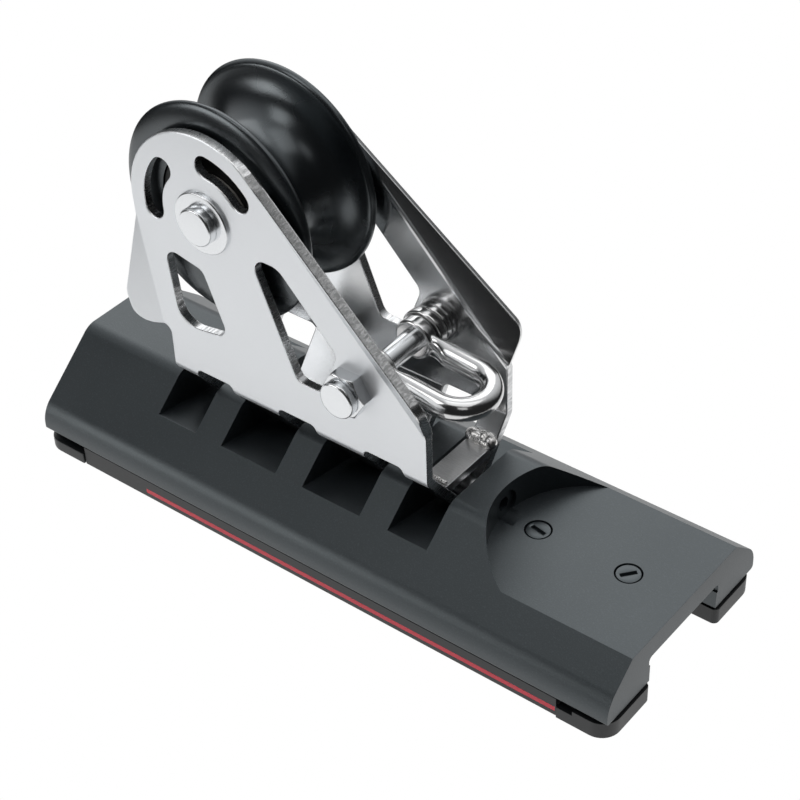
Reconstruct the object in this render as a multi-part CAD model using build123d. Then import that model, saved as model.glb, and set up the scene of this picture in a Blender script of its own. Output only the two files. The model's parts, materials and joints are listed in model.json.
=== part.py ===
from build123d import *
import os
from math import acos, cos, degrees, radians, sin, sqrt, tan

os.makedirs("parts", exist_ok=True)

# Outhaul car: a ball bearing car for a 27 mm mainsail boom track. A folded
# steel tower stands on the car and holds one sheave and a shackle.
# Frame: millimetres, +X towards the low deck at the front, +Z up, the origin
# on the car's foot, under its middle.

# Car body
car_length = 177.0
body_width = 63.5
body_foot = 5.4
shoulder_inset = 0.95
shoulder_foot_z = 12.0
shoulder_angle = 40.0
crown_over_pin = 5.8
crown_edge_radius = 12.0
flank_radius = 3.5
end_corner_radius = 2.0

# Channel for the track
channel_width = 28.8
channel_height = 13.0
channel_corner_radius = 1.2
channel_step_drop = 2.6
channel_step = 0.5

# Low deck with its curved wall
deck_height = 19.1
deck_wall_radius = 24.3
deck_wall_centre_x = 62.5

# Trenches across the crown, with ribs between them
rib_pitch = 26.5
rib_width = 8.6
rib_count = 3
rib_middle_x = -11.5
trench_rear_x = -55.0
trench_front_x = 31.0
trench_skin = 2.6
trench_fall = 4.0
trench_middle_radius = 5.0

# Lengthwise tower pin
pin_radius = 3.2
pin_rear_x = -63.0
pin_end_gap = 0.3
pin_end_break = 0.5
pin_fit = 0.08
plug_length = 5.0
plug_radius = 3.9
plug_socket_radius = 2.0
plug_inset = 0.6

# Steel of the tower
sheet = 2.5
cheek_half_width = 17.1
tower_rear_x = -51.5
tower_front_x = 28.0
tower_lean = 38.0
stirrup_gap = 0.1
stirrup_rest = 0.6
stirrup_top = 6.0
fold_radius = 3.0
slot_side_gap = 1.7
slot_over_crown = 8.4
slot_corner_radius = 1.8

# Cheek outline
axle_x = -36.2
axle_z = 83.0
cheek_head_radius = 23.0
front_crease_z = 49.6
front_flare_s = 61.8
front_flare_width = 7.4
flare_angle = 20.0
flare_bend_radius = 4.0
flare_corner_radius = 3.0
flare_blank = 20.0
flare_root = 16.0
flare_lap = 8.0
cheek_lap = 4.0
rear_crease_top_z = 77.1
rear_crease_foot_x = -54.0
rear_crease_foot_z = 45.3
rear_wing_x = -62.3
rear_wing_z = 55.0
rear_wing_foot_z = 46.3
rear_wing_radius = 6.0
rear_wing_top_radius = 8.0
rear_wing_foot_inset = 2.0
rear_notch_radius = 2.2

# Cheek windows
arc_slot_radius = 15.8
arc_slot_width = 5.8
rear_slot_start = 139.0
rear_slot_sweep = 47.0
top_slot_start = 40.0
top_slot_sweep = 42.0
window_corner_radius = 3.0
foot_window_top_z = 70.9
foot_window_top_fall = 2.5
foot_window_top_width = 12.0
foot_window_foot_z = 48.6
foot_window_foot_rise = 2.6
foot_window_foot_width = 15.8
foot_window_rear_x = -50.3
foot_window_rear_slant = 2.8
foot_window_round = 6.0
brace_window_top_z = 78.8
brace_window_top_width = 8.3
brace_window_head_round = 4.5
brace_window_foot_z = 47.9
brace_window_foot_width = 7.6
brace_window_foot_inset = 5.2
brace_window_rear_x = -22.3
brace_window_front_x = 2.6
brace_window_front_rise = 13.3

# Tie strip between the legs of the front stirrup
tie_over_pin = 7.2
weld_radius = 1.7
weld_end_gap = 0.5

# Sheave and its bearing
sheave_radius = 28.4
sheave_half_width = 13.4
rim_radius = 1.5
groove_radius = 10.4
sheave_bore_radius = 11.15
bearing_fit = 0.05
roller_radius = 2.0
roller_length = 19.6
roller_count = 12
axle_radius = 4.4
race_radius = 7.05
axle_fit = 0.05
cover_radius = 16.4
cover_thickness = 1.3
cover_face_y = 12.6
cover_gap = 0.1
side_dish = 0.5
thrust_radius = 11.0
thrust_gap = 0.1
axle_head_radius = 4.95
axle_head_height = 2.3
axle_head_break = 0.6
axle_washer_radius = 8.2
axle_washer_thickness = 0.9

# Shackle and its pin
shackle_x = 6.4
shackle_z = 53.3
shackle_pin_radius = 3.0
shackle_fit = 0.06
shackle_half_spread = 7.8
shackle_bar_radius = 2.6
shackle_reach = 26.0
shackle_droop = 6.0
shackle_eye_radius = 5.3
shackle_eye_width = 3.6
shackle_eye_break = 0.5
shackle_neck_gap = 0.4
shackle_neck_taper = 3.0
collar_gap = 0.15
collar_radius = 6.0
collar_foot_radius = 5.5
collar_groove_radius = 4.5
collar_groove_width = 0.6
collar_foot_width = 1.8
nut_across_flats = 10.8
nut_thickness = 3.4
nut_chamfer = 0.5
pin_end_radius = 4.8
pin_end_height = 2.4
pin_head_radius = 5.2
pin_head_height = 3.0

# Ball races and the plastic under the body
ball_radius = 3.1
ball_centre_y = 15.7
race_clearance = 0.12
ball_count = 20
ball_gap = 0.15
keeper_length = 13.5
keeper_height = 4.6
keeper_shelf_height = 3.3
keeper_shelf_length = 4.3
keeper_post_width = 4.0
keeper_corner_radius = 5.0
keeper_tip_radius = 1.5
keeper_ledge = 3.0
keeper_lip = 0.5
keeper_overhang = 0.2
rail_end_gap = 0.3
rail_face_inset = 0.25
rail_side_break = 0.5
stripe_height = 1.0
stripe_centre_z = 1.95
stripe_depth = 0.3
stripe_rear_gap = 22.4
stripe_front_gap = 0.6

# Screws
deck_screw_wall_gap = 9.5
deck_screw_end_gap = 15.5
deck_screw_radius = 3.3
deck_screw_head = 1.8
deck_screw_shank_radius = 2.0
deck_screw_slot = 0.9
deck_screw_fit = 0.06
deck_slot_angle_1 = 55.0
deck_slot_angle_2 = 42.0
keeper_screw_radius = 2.6
keeper_screw_shank_radius = 1.4
keeper_screw_length = 10.0
keeper_screw_head = 1.5
keeper_screw_slot = 0.8
keeper_screw_y = 23.0
keeper_screw_inset = 5.4

# Sizes worked out from those above
half_length = car_length / 2
half_width = body_width / 2
half_channel = channel_width / 2
cheek_inner_y = cheek_half_width - sheet
shoulder_foot_y = half_width - shoulder_inset
crown_slope = tan(radians(shoulder_angle))
stirrup_inner = pin_radius + stirrup_gap
stirrup_outer = stirrup_inner + sheet
trench_middle_z = channel_height + trench_skin
trench_edge_z = trench_middle_z + trench_fall
pin_height = trench_middle_z + stirrup_rest + stirrup_outer
crown_height = pin_height + crown_over_pin
channel_step_z = channel_height - channel_step_drop
slot_top_z = crown_height + slot_over_crown
rib_centres = [rib_middle_x + rib_pitch * (i - (rib_count - 1) / 2) for i in range(rib_count)]
keeper_rear_x = half_length - keeper_length
deck_wall_x = deck_wall_centre_x - deck_wall_radius
deck_screw_places = [deck_wall_x + deck_screw_wall_gap, half_length - deck_screw_end_gap]


def outline(corners):
    """A face through corners given as x, y and the radius of the corner."""
    face = make_face(Polyline([(x, y) for x, y, r in corners], close=True))
    for x, y, r in corners:
        if r > 0:
            face = fillet(face.vertices().sort_by_distance((x, y, 0))[0], r)
    return face


def along_x(face, x_from, x_to):
    """The face, drawn with Y and Z as its axes, drawn out along X."""
    return extrude(Plane.YZ.offset(x_from) * face, amount=x_to - x_from)


def along_y(face, y_from, y_to):
    """The face, drawn with X and Z as its axes, drawn out along Y."""
    return extrude(Plane.XZ.offset(-y_from) * face, amount=y_from - y_to)


def rod(x, y, z, radius, length, axis):
    """A round bar whose middle is at the given point."""
    turn = {"X": Rot(0, 90, 0), "Y": Rot(90, 0, 0), "Z": Rot(0, 0, 0)}[axis]
    return Pos(x, y, z) * turn * Cylinder(radius, length)


def slab(x_from, x_to, y_from, y_to, z_from, z_to):
    """A block between two corners."""
    middle = Pos((x_from + x_to) / 2, (y_from + y_to) / 2, (z_from + z_to) / 2)
    return middle * Box(abs(x_to - x_from), abs(y_to - y_from), abs(z_to - z_from))


def far_copy(shape):
    """The same piece on the other side of the car."""
    return mirror(shape, about=Plane.XZ)


def body_section():
    """Sloping shoulders on a wide foot, with the track's channel below."""
    crown_y = shoulder_foot_y - (crown_height - shoulder_foot_z) / crown_slope
    side = [
        (half_channel, body_foot, 0),
        (half_width, body_foot, 0.5),
        (half_width, shoulder_foot_z - 2.2, flank_radius * 0.4),
        (shoulder_foot_y, shoulder_foot_z, flank_radius),
        (crown_y, crown_height, crown_edge_radius),
    ]
    channel = [
        (half_channel, channel_step_z, 0),
        (half_channel + channel_step, channel_step_z, 0),
        (half_channel + channel_step, channel_height, channel_corner_radius),
    ]
    corners = side + [(-y, z, r) for y, z, r in reversed(side)]
    return outline(corners + [(-y, z, r) for y, z, r in channel] + channel[::-1])


def trench_edges():
    """Front and rear of each trench: the ribs stand between them."""
    edges = [trench_rear_x]
    for x in rib_centres:
        edges += [x - rib_width / 2, x + rib_width / 2]
    edges.append(trench_front_x)
    return list(zip(edges[0::2], edges[1::2]))


def trenches():
    """Shallow troughs across the crown: each floor falls from both shoulders
    to the middle, under the tower's stirrups."""
    edge_y = shoulder_foot_y - (trench_edge_z - shoulder_foot_z) / crown_slope
    fall = (trench_edge_z - trench_middle_z) / edge_y
    outside_z = trench_middle_z + fall * (half_width + 1)
    section = outline([
        (0, trench_middle_z, trench_middle_radius),
        (half_width + 1, outside_z, 0),
        (half_width + 1, crown_height + 1, 0),
        (-half_width - 1, crown_height + 1, 0),
        (-half_width - 1, outside_z, 0),
    ])
    return [along_x(section, x_from, x_to) for x_from, x_to in trench_edges()]


def deck_cut():
    """The low deck: open to the front, with a wall struck from one centre."""
    centre = Pos(deck_wall_centre_x, 0, 0)
    plan = centre * Circle(deck_wall_radius)
    room = half_length + 1 - deck_wall_centre_x
    plan += centre * Pos(room / 2, 0, 0) * Rectangle(room, body_width + 2)
    return extrude(Plane.XY.offset(deck_height) * plan, amount=crown_height)


def ball_groove(side):
    """The run of the load bearing balls, half in the body, half in the rail."""
    length = 2 * keeper_rear_x - 2 * rail_end_gap
    return rod(0, side * ball_centre_y, body_foot, ball_radius + race_clearance, length, "X")


def car_body():
    body = along_x(body_section(), -half_length, half_length)
    body -= deck_cut()
    for cut in trenches():
        body -= cut
    bore_length = deck_wall_x + 2 - pin_rear_x
    body -= rod(pin_rear_x + bore_length / 2, 0, pin_height, pin_radius + pin_fit, bore_length, "X")
    body -= rod(deck_wall_x - plug_length / 2 + 1, 0, pin_height, plug_radius, plug_length + 2, "X")
    for side in (-1, 1):
        body -= ball_groove(side)
    for x, y in keeper_screw_places():
        reach = keeper_screw_length + 0.6
        body -= rod(x, y, reach / 2, keeper_screw_shank_radius + 0.02, reach, "Z")
    for x in deck_screw_places:
        body -= Pos(x, 0, deck_height) * deck_screw_hole()
    return body


def deck_screw_hole():
    """A tapped hole with a cone that takes the screw's head."""
    cone = deck_screw_radius + deck_screw_fit
    head = Pos(0, 0, -deck_screw_head / 2) * Cone(deck_screw_shank_radius, cone, deck_screw_head)
    thickness = deck_height - channel_height
    shank = Pos(0, 0, -thickness / 2) * Cylinder(deck_screw_shank_radius + deck_screw_fit, thickness + 1)
    return head + shank


def deck_screw(x, slot_angle):
    """A countersunk screw with one straight slot, flush with the deck."""
    thickness = deck_height - channel_height
    head = Pos(0, 0, -deck_screw_head / 2)
    head *= Cone(deck_screw_shank_radius - deck_screw_fit, deck_screw_radius - deck_screw_fit, deck_screw_head)
    shank = Pos(0, 0, -thickness / 2) * Cylinder(deck_screw_shank_radius - deck_screw_fit, thickness)
    slot = Rot(0, 0, slot_angle) * Box(deck_screw_radius * 1.25, deck_screw_slot, deck_screw_slot * 2)
    return Pos(x, 0, deck_height) * (head + shank - slot)


def tower_pin():
    """The pin that holds the tower down: it lies in the ribs, over the
    stirrups."""
    front = deck_wall_x - plug_length - plug_inset
    length = front - pin_rear_x - pin_end_gap
    bar = rod(front - length / 2, 0, pin_height, pin_radius, length, "X")
    return chamfer(bar.edges(), pin_end_break)


def pin_plug():
    """A short screw plug with a hexagon socket, in the deck's wall."""
    x = deck_wall_x - plug_inset - plug_length / 2 + 0.5
    plug = rod(x, 0, pin_height, plug_radius - pin_fit / 2, plug_length - 1, "X")
    socket = Plane.YZ.offset(x - 0.5) * Pos(0, pin_height) * RegularPolygon(plug_socket_radius, 6)
    return plug - extrude(socket, amount=plug_length)


def stirrup_section():
    """The tower's folded shape seen from the front: upright cheeks, a lean
    inwards below the fold and a round foot under the pin."""
    top = slot_top_z + stirrup_top
    lean = radians(tower_lean)

    def side(half, radius):
        foot_y = radius * cos(lean)
        foot_z = pin_height - radius * sin(lean)
        return (half, top), (half, foot_z + (half - foot_y) / tan(lean)), (foot_y, foot_z)

    outer = side(cheek_half_width, stirrup_outer)
    inner = side(cheek_inner_y, stirrup_inner)
    edges = []
    for (a, b, c), radius in ((outer, stirrup_outer), (inner, stirrup_inner)):
        edges.append(Polyline([a, b, c]))
        edges.append(ThreePointArc(c, (0, pin_height - radius), (-c[0], c[1])))
        edges.append(Polyline([(-c[0], c[1]), (-b[0], b[1]), (-a[0], a[1])]))
    edges.append(Line(outer[0], inner[0]))
    edges.append(Line((-outer[0][0], top), (-inner[0][0], top)))
    face = make_face(edges)
    for (a, b, c), radius in ((outer, fold_radius + sheet), (inner, fold_radius)):
        for y in (b[0], -b[0]):
            face = fillet(face.vertices().sort_by_distance((y, b[1], 0))[0], radius)
    return face


def flare_sheet(crease_from, crease_to, away):
    """A wide sheet with one fold along the crease: flat on the cheek's side
    and turned outwards on the other."""
    run = Vector(crease_to[0] - crease_from[0], 0, crease_to[1] - crease_from[1])
    normal = Vector(run.Z, 0, -run.X).normalized()
    if normal.dot(Vector(away[0], 0, away[1])) < 0:
        normal = -normal
    plane = Plane(
        origin=(crease_from[0], 0, crease_from[1]),
        x_dir=normal,
        z_dir=normal.cross(Vector(0, -1, 0)),
    )
    reach = flare_blank
    turn = radians(flare_angle)
    shift = sheet * tan(turn / 2)
    tip = (reach * cos(turn), reach * sin(turn))
    edge = (-sheet * sin(turn), sheet * cos(turn))
    profile = outline([
        (-reach, cheek_inner_y, 0),
        (0, cheek_inner_y, flare_bend_radius + sheet),
        (tip[0], cheek_inner_y + tip[1], 0),
        (tip[0] + edge[0], cheek_inner_y + tip[1] + edge[1], 0),
        (-shift, cheek_half_width, flare_bend_radius),
        (-reach, cheek_half_width, 0),
    ])
    return extrude(plane * profile, amount=car_length, both=True)


def crease_points():
    """The front crease touches the cheek's round head and ends on the front
    edge, and the wing's corner stands off it."""
    foot = Vector(tower_front_x, front_crease_z)
    centre = Vector(axle_x, axle_z)
    span = foot - centre
    distance = span.length
    tangent = sqrt(distance**2 - cheek_head_radius**2)
    run = span.rotate(Axis.Z, -degrees(acos(tangent / distance))).normalized()
    head = foot - run * tangent
    away = Vector(-run.Y, run.X)
    corner = head + run * front_flare_s + away * front_flare_width * cos(radians(flare_angle))
    return head, foot, corner, away


def cheek_near():
    """The near cheek above the fold: a flat plate with a round head, and
    flared wings in front and behind."""
    head, foot, corner, away = crease_points()
    low = slot_top_z + cheek_lap
    rear_top = (axle_x - cheek_head_radius, rear_crease_top_z)
    crease_foot = (rear_crease_foot_x, rear_crease_foot_z)
    plate = outline([
        (tower_rear_x, low, 0),
        (tower_front_x, low, 0),
        (foot.X, foot.Y, 0),
        (head.X, head.Y, 0),
        (axle_x, axle_z, 0),
        (axle_x - cheek_head_radius, axle_z, 0),
        (rear_top[0], rear_top[1], 0),
        (crease_foot[0], crease_foot[1], 0),
        (tower_rear_x, rear_crease_foot_z, 0),
    ])
    plate += Pos(axle_x, axle_z) * Circle(cheek_head_radius)
    cheek = along_y(plate, -cheek_half_width, -cheek_inner_y)

    front_face = outline([
        (tower_front_x - flare_root, low, 0),
        (tower_front_x, low, 0),
        (foot.X, foot.Y, 0),
        (corner.X, corner.Y, flare_corner_radius),
        (head.X, head.Y, 0),
        (head.X - flare_lap, head.Y - flare_lap, 0),
    ])
    front = flare_sheet((head.X, head.Y), (foot.X, foot.Y), (away.X, away.Y))
    cheek += front & along_y(front_face, -half_width, 0)

    rear_face = outline([
        (rear_top[0] + flare_lap, rear_top[1], 0),
        (rear_top[0], rear_top[1], 0),
        (rear_wing_x, rear_wing_z, rear_wing_top_radius),
        (rear_wing_x + rear_wing_foot_inset, rear_wing_foot_z, rear_wing_radius),
        (tower_rear_x, rear_wing_foot_z, rear_notch_radius),
        (tower_rear_x, low, 0),
        (tower_rear_x + flare_lap, low, 0),
    ])
    rear = flare_sheet(rear_top, crease_foot, (-1, 0))
    cheek += rear & along_y(rear_face, -half_width, 0)
    return cheek


def cheek_windows():
    """The cut-outs that both cheeks share."""
    centre = (axle_x, axle_z)
    foot_x = foot_window_rear_x + foot_window_rear_slant
    foot_window = outline([
        (foot_window_rear_x, foot_window_top_z, window_corner_radius),
        (foot_window_rear_x + foot_window_top_width, foot_window_top_z - foot_window_top_fall, window_corner_radius),
        (foot_x + foot_window_foot_width, foot_window_foot_z + foot_window_foot_rise, window_corner_radius),
        (foot_x, foot_window_foot_z, foot_window_round),
    ])
    brace_x = brace_window_front_x - brace_window_foot_inset
    brace_window = outline([
        (brace_window_rear_x, brace_window_top_z, window_corner_radius),
        (brace_window_rear_x + brace_window_top_width, brace_window_top_z, brace_window_head_round),
        (brace_window_front_x, brace_window_foot_z + brace_window_front_rise, window_corner_radius),
        (brace_x, brace_window_foot_z, window_corner_radius),
        (brace_x - brace_window_foot_width, brace_window_foot_z, window_corner_radius),
    ])
    windows = [
        SlotArc(CenterArc(centre, arc_slot_radius, rear_slot_start, rear_slot_sweep), arc_slot_width),
        SlotArc(CenterArc(centre, arc_slot_radius, top_slot_start, top_slot_sweep), arc_slot_width),
        foot_window,
        brace_window,
    ]
    holes = [
        Pos(*centre) * Circle(axle_radius + axle_fit),
        Pos(shackle_x, shackle_z) * Circle(shackle_pin_radius + axle_fit),
    ]
    return [along_y(face, -half_width, half_width) for face in windows + holes]


def rib_slots():
    """The ribs stand up through these slots, which part the stirrups."""
    width = rib_width + 2 * slot_side_gap
    foot = pin_height - stirrup_outer - 1
    cuts = []
    for x in rib_centres:
        face = outline([
            (x - width / 2, foot, 0),
            (x + width / 2, foot, 0),
            (x + width / 2, slot_top_z, slot_corner_radius),
            (x - width / 2, slot_top_z, slot_corner_radius),
        ])
        cuts.append(along_y(face, -half_width, half_width))
    return cuts


def tower_frame():
    frame = along_x(stirrup_section(), tower_rear_x, tower_front_x)
    near = cheek_near()
    frame += near
    frame += far_copy(near)
    for cut in rib_slots() + cheek_windows():
        frame -= cut
    return frame


def tie_strip(frame):
    """The flat strip that ties the front stirrup's legs, cut to their inner
    faces."""
    x_from = rib_centres[-1] + rib_width / 2 + slot_side_gap
    top = pin_height + tie_over_pin
    strip = slab(x_from, tower_front_x, -cheek_inner_y, cheek_inner_y, top - sheet, top)
    strip -= frame
    return max(strip.solids(), key=lambda piece: piece.volume)


def tie_welds(frame, strip):
    """A bead along each end of the strip, in the corner with the leg."""
    box = strip.bounding_box()
    middle = (box.min.X + box.max.X) / 2
    length = box.size.X - 2 * weld_end_gap
    beads = []
    for side in (-1, 1):
        bead = rod(middle, side * box.max.Y, box.max.Z, weld_radius, length, "X")
        bead = fillet(bead.edges(), weld_radius * 0.6) - frame - strip
        inside = [piece for piece in bead.solids() if abs(piece.center().Y) < box.max.Y and piece.center().Z > box.max.Z]
        beads += inside
    return Compound(beads)


def sheave():
    """One turned wheel: a round groove between rounded rims, dished sides
    and a bore for the rollers."""
    rim_centre = sheave_radius - rim_radius
    rim_y = sheave_half_width - rim_radius
    groove_centre = rim_centre + 0.5
    groove_bottom = groove_centre - groove_radius
    inner_y = rim_y - rim_radius
    recess_y = cover_face_y - cover_thickness
    cover_edge = cover_radius + cover_gap
    side_y = sheave_half_width - side_dish
    middle_r = groove_centre - groove_radius * cos(radians(45))
    middle_y = groove_radius * sin(radians(45))
    edges = [
        Line((sheave_bore_radius, -recess_y), (sheave_bore_radius, recess_y)),
        ThreePointArc((rim_centre, -inner_y), (groove_bottom, 0), (rim_centre, inner_y)),
    ]
    for side in (-1, 1):
        edges += [
            Line((sheave_bore_radius, side * recess_y), (cover_edge, side * recess_y)),
            Line((cover_edge, side * recess_y), (cover_edge, side * side_y)),
            Line((cover_edge, side * side_y), (rim_centre, side * sheave_half_width)),
            ThreePointArc(
                (rim_centre, side * sheave_half_width),
                (sheave_radius, side * rim_y),
                (rim_centre, side * inner_y),
            ),
        ]
    half = make_face(edges)
    wheel = revolve(Plane.XZ * half, Axis.Z)
    return Pos(axle_x, 0, axle_z) * Rot(90, 0, 0) * wheel


def ring(x, z, inner, outer, y_from, y_to):
    """A flat ring about an axis along Y."""
    middle = (y_from + y_to) / 2
    width = abs(y_to - y_from)
    return rod(x, middle, z, outer, width, "Y") - rod(x, middle, z, inner, width + 1, "Y")


def sheave_axle():
    """A plain pin with a peened head on each washer."""
    face = cheek_half_width + axle_washer_thickness
    axle = rod(axle_x, 0, axle_z, axle_radius, 2 * face, "Y")
    for side in (-1, 1):
        head = rod(axle_x, side * (face + axle_head_height / 2), axle_z, axle_head_radius, axle_head_height, "Y")
        rim = head.edges().sort_by(Axis.Y)[0 if side < 0 else -1]
        axle += chamfer(rim, axle_head_break)
    return axle


def sheave_rollers():
    """The needle rollers, evenly spaced between the race and the bore."""
    circle = sheave_bore_radius - bearing_fit - roller_radius
    rollers = []
    for i in range(roller_count):
        turn = radians(360 * i / roller_count)
        x = axle_x + circle * cos(turn)
        z = axle_z + circle * sin(turn)
        rollers.append(rod(x, 0, z, roller_radius - bearing_fit, roller_length, "Y"))
    return Compound(rollers)


def shackle_bow():
    """A round bar bent to a D. Each end is flattened beside the collar and
    carries an eye, and the bow hangs a little below the level."""
    spread = shackle_half_spread
    leg_x = shackle_reach - spread
    neck_x = collar_radius + shackle_neck_gap
    bar_x = neck_x + shackle_neck_taper
    path = Line((bar_x, -spread, 0), (leg_x, -spread, 0))
    path += ThreePointArc((leg_x, -spread, 0), (shackle_reach, 0, 0), (leg_x, spread, 0))
    path += Line((leg_x, spread, 0), (bar_x, spread, 0))
    section = Plane(origin=(bar_x, -spread, 0), z_dir=(1, 0, 0)) * Circle(shackle_bar_radius)
    bow = sweep(section, path)
    for side in (-1, 1):
        flat = Pos(side * spread, 0) * Ellipse(shackle_eye_width / 2, shackle_bar_radius)
        full = Pos(side * spread, 0) * Circle(shackle_bar_radius)
        bow += along_x(flat, shackle_pin_radius, neck_x)
        bow += loft([Plane.YZ.offset(neck_x) * flat, Plane.YZ.offset(bar_x) * full])
        eye = rod(0, side * spread, 0, shackle_eye_radius, shackle_eye_width, "Y")
        bow += chamfer(eye.edges(), shackle_eye_break)
    bow -= rod(0, 0, 0, shackle_pin_radius + shackle_fit, body_width, "Y")
    return Pos(shackle_x, 0, shackle_z) * Rot(0, shackle_droop, 0) * bow


def shackle_pin():
    """The pin across the tower: a flat head on the far side, and an end
    peened over the nut on the near side."""
    near_y = -cheek_half_width - nut_thickness
    far_y = cheek_half_width
    pin = rod(shackle_x, (near_y + far_y) / 2, shackle_z, shackle_pin_radius, far_y - near_y, "Y")
    end = rod(shackle_x, near_y - pin_end_height / 2, shackle_z, pin_end_radius, pin_end_height, "Y")
    head = rod(shackle_x, far_y + pin_head_height / 2, shackle_z, pin_head_radius, pin_head_height, "Y")
    pin += chamfer(end.edges().sort_by(Axis.Y)[0], nut_chamfer)
    pin += chamfer(head.edges().sort_by(Axis.Y)[-1], nut_chamfer)
    return pin


def pin_nut():
    """The hexagon nut between the near cheek and the pin's peened end."""
    radius = nut_across_flats / 2
    hexagon = RegularPolygon(radius, 6, major_radius=False)
    nut = extrude(Plane.XZ.offset(cheek_half_width) * Pos(shackle_x, shackle_z) * hexagon, amount=nut_thickness)
    nut -= rod(shackle_x, -cheek_half_width, shackle_z, shackle_pin_radius + axle_fit, 4 * nut_thickness, "Y")
    return nut


def pin_collar(side):
    """A stepped collar that keeps the shackle's eye off the cheek."""
    eye_face = shackle_half_spread + shackle_eye_width / 2 + collar_gap
    step = cheek_inner_y - collar_foot_width
    groove = step - collar_groove_width
    bore = shackle_pin_radius + axle_fit
    collar = ring(shackle_x, shackle_z, bore, collar_radius, side * eye_face, side * groove)
    collar += ring(shackle_x, shackle_z, bore, collar_groove_radius, side * groove, side * step)
    return collar + ring(shackle_x, shackle_z, bore, collar_foot_radius, side * step, side * cheek_inner_y)


def keeper_screw_places():
    """One screw up through each keeper."""
    x = half_length - keeper_screw_inset
    return [(sx * x, sy * keeper_screw_y) for sx in (-1, 1) for sy in (-1, 1)]


def keeper(end, side):
    """The plastic block that closes one end of a ball run: a thin shelf, a
    thicker pad under the body's end and a post that meets the body."""
    outer = half_width + keeper_overhang
    tip = half_length + keeper_lip
    plan = outline([
        (keeper_rear_x, half_channel, 0),
        (tip, half_channel, keeper_tip_radius),
        (tip, outer, keeper_corner_radius),
        (keeper_rear_x, outer, 0),
    ])
    block = extrude(plan, amount=keeper_height)
    open_x = keeper_rear_x + keeper_shelf_length
    if end < 0:
        open_x = tip + 1
    ledge_y = outer - keeper_ledge
    block -= slab(keeper_rear_x - 1, open_x, ledge_y, outer + 1, keeper_shelf_height, keeper_height)
    post = slab(
        keeper_rear_x, keeper_rear_x + keeper_post_width, half_channel, ledge_y,
        keeper_shelf_height, body_foot,
    )
    block += post
    x = half_length - keeper_screw_inset
    block -= rod(x, keeper_screw_y, keeper_height / 2, keeper_screw_shank_radius + 0.1, 3 * keeper_height, "Z")
    head = Cone(keeper_screw_radius + 0.1, keeper_screw_shank_radius, keeper_screw_head)
    block -= Pos(x, keeper_screw_y, keeper_screw_head / 2 + 0.4) * head
    block -= rod(x, keeper_screw_y, 0.2, keeper_screw_radius + 0.1, 0.4, "Z")
    if end < 0:
        block = mirror(block, about=Plane.YZ)
    return mirror(block, about=Plane.XZ) if side < 0 else block


def keeper_screws():
    """Countersunk screws, set a little under the foot."""
    screws = []
    for x, y in keeper_screw_places():
        head = Pos(0, 0, keeper_screw_head / 2) * Cone(
            keeper_screw_radius, keeper_screw_shank_radius, keeper_screw_head
        )
        shank = Pos(0, 0, keeper_screw_length / 2 - 0.2) * Cylinder(
            keeper_screw_shank_radius, keeper_screw_length - 0.4
        )
        slot = Box(keeper_screw_radius * 3, keeper_screw_slot, keeper_screw_slot)
        screws.append(Pos(x, y, 0.4) * (head + shank - slot))
    return Compound(screws)


def rail(side):
    """The long plastic rail under one leg, with a groove for its balls and a
    shallow recess for the stripe."""
    length = 2 * (keeper_rear_x - rail_end_gap)
    outer = half_width - rail_face_inset
    section = outline([
        (half_channel, 0, rail_side_break),
        (outer, 0, rail_side_break),
        (outer, body_foot, 0),
        (half_channel, body_foot, 0),
    ])
    bar = along_x(section, -length / 2, length / 2)
    bar -= ball_groove(1)
    bar -= stripe_block()
    return bar if side > 0 else mirror(bar, about=Plane.XZ)


def stripe_block():
    """The shallow band in the rail's outer face that the stripe fills."""
    outer = half_width - rail_face_inset
    x_from = -keeper_rear_x + stripe_rear_gap
    x_to = keeper_rear_x - stripe_front_gap
    low = stripe_centre_z - stripe_height / 2
    return slab(x_from, x_to, outer - stripe_depth, outer, low, low + stripe_height)


def balls(side):
    """The row of load bearing balls on one side, each cut with 18 flats."""
    pitch = 2 * ball_radius + ball_gap
    across = 2 * ball_radius / sqrt(1 + 2 * (sqrt(2) - 1) ** 2)
    cube = Box(across, across, across)
    ball = cube & Rot(45, 0, 0) * cube & Rot(0, 45, 0) * cube & Rot(0, 0, 45) * cube
    row = []
    for i in range(ball_count):
        x = (i - (ball_count - 1) / 2) * pitch
        row.append(Pos(x, side * ball_centre_y, body_foot) * ball)
    return Compound(row)


frame = tower_frame()
strip = tie_strip(frame)

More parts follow.
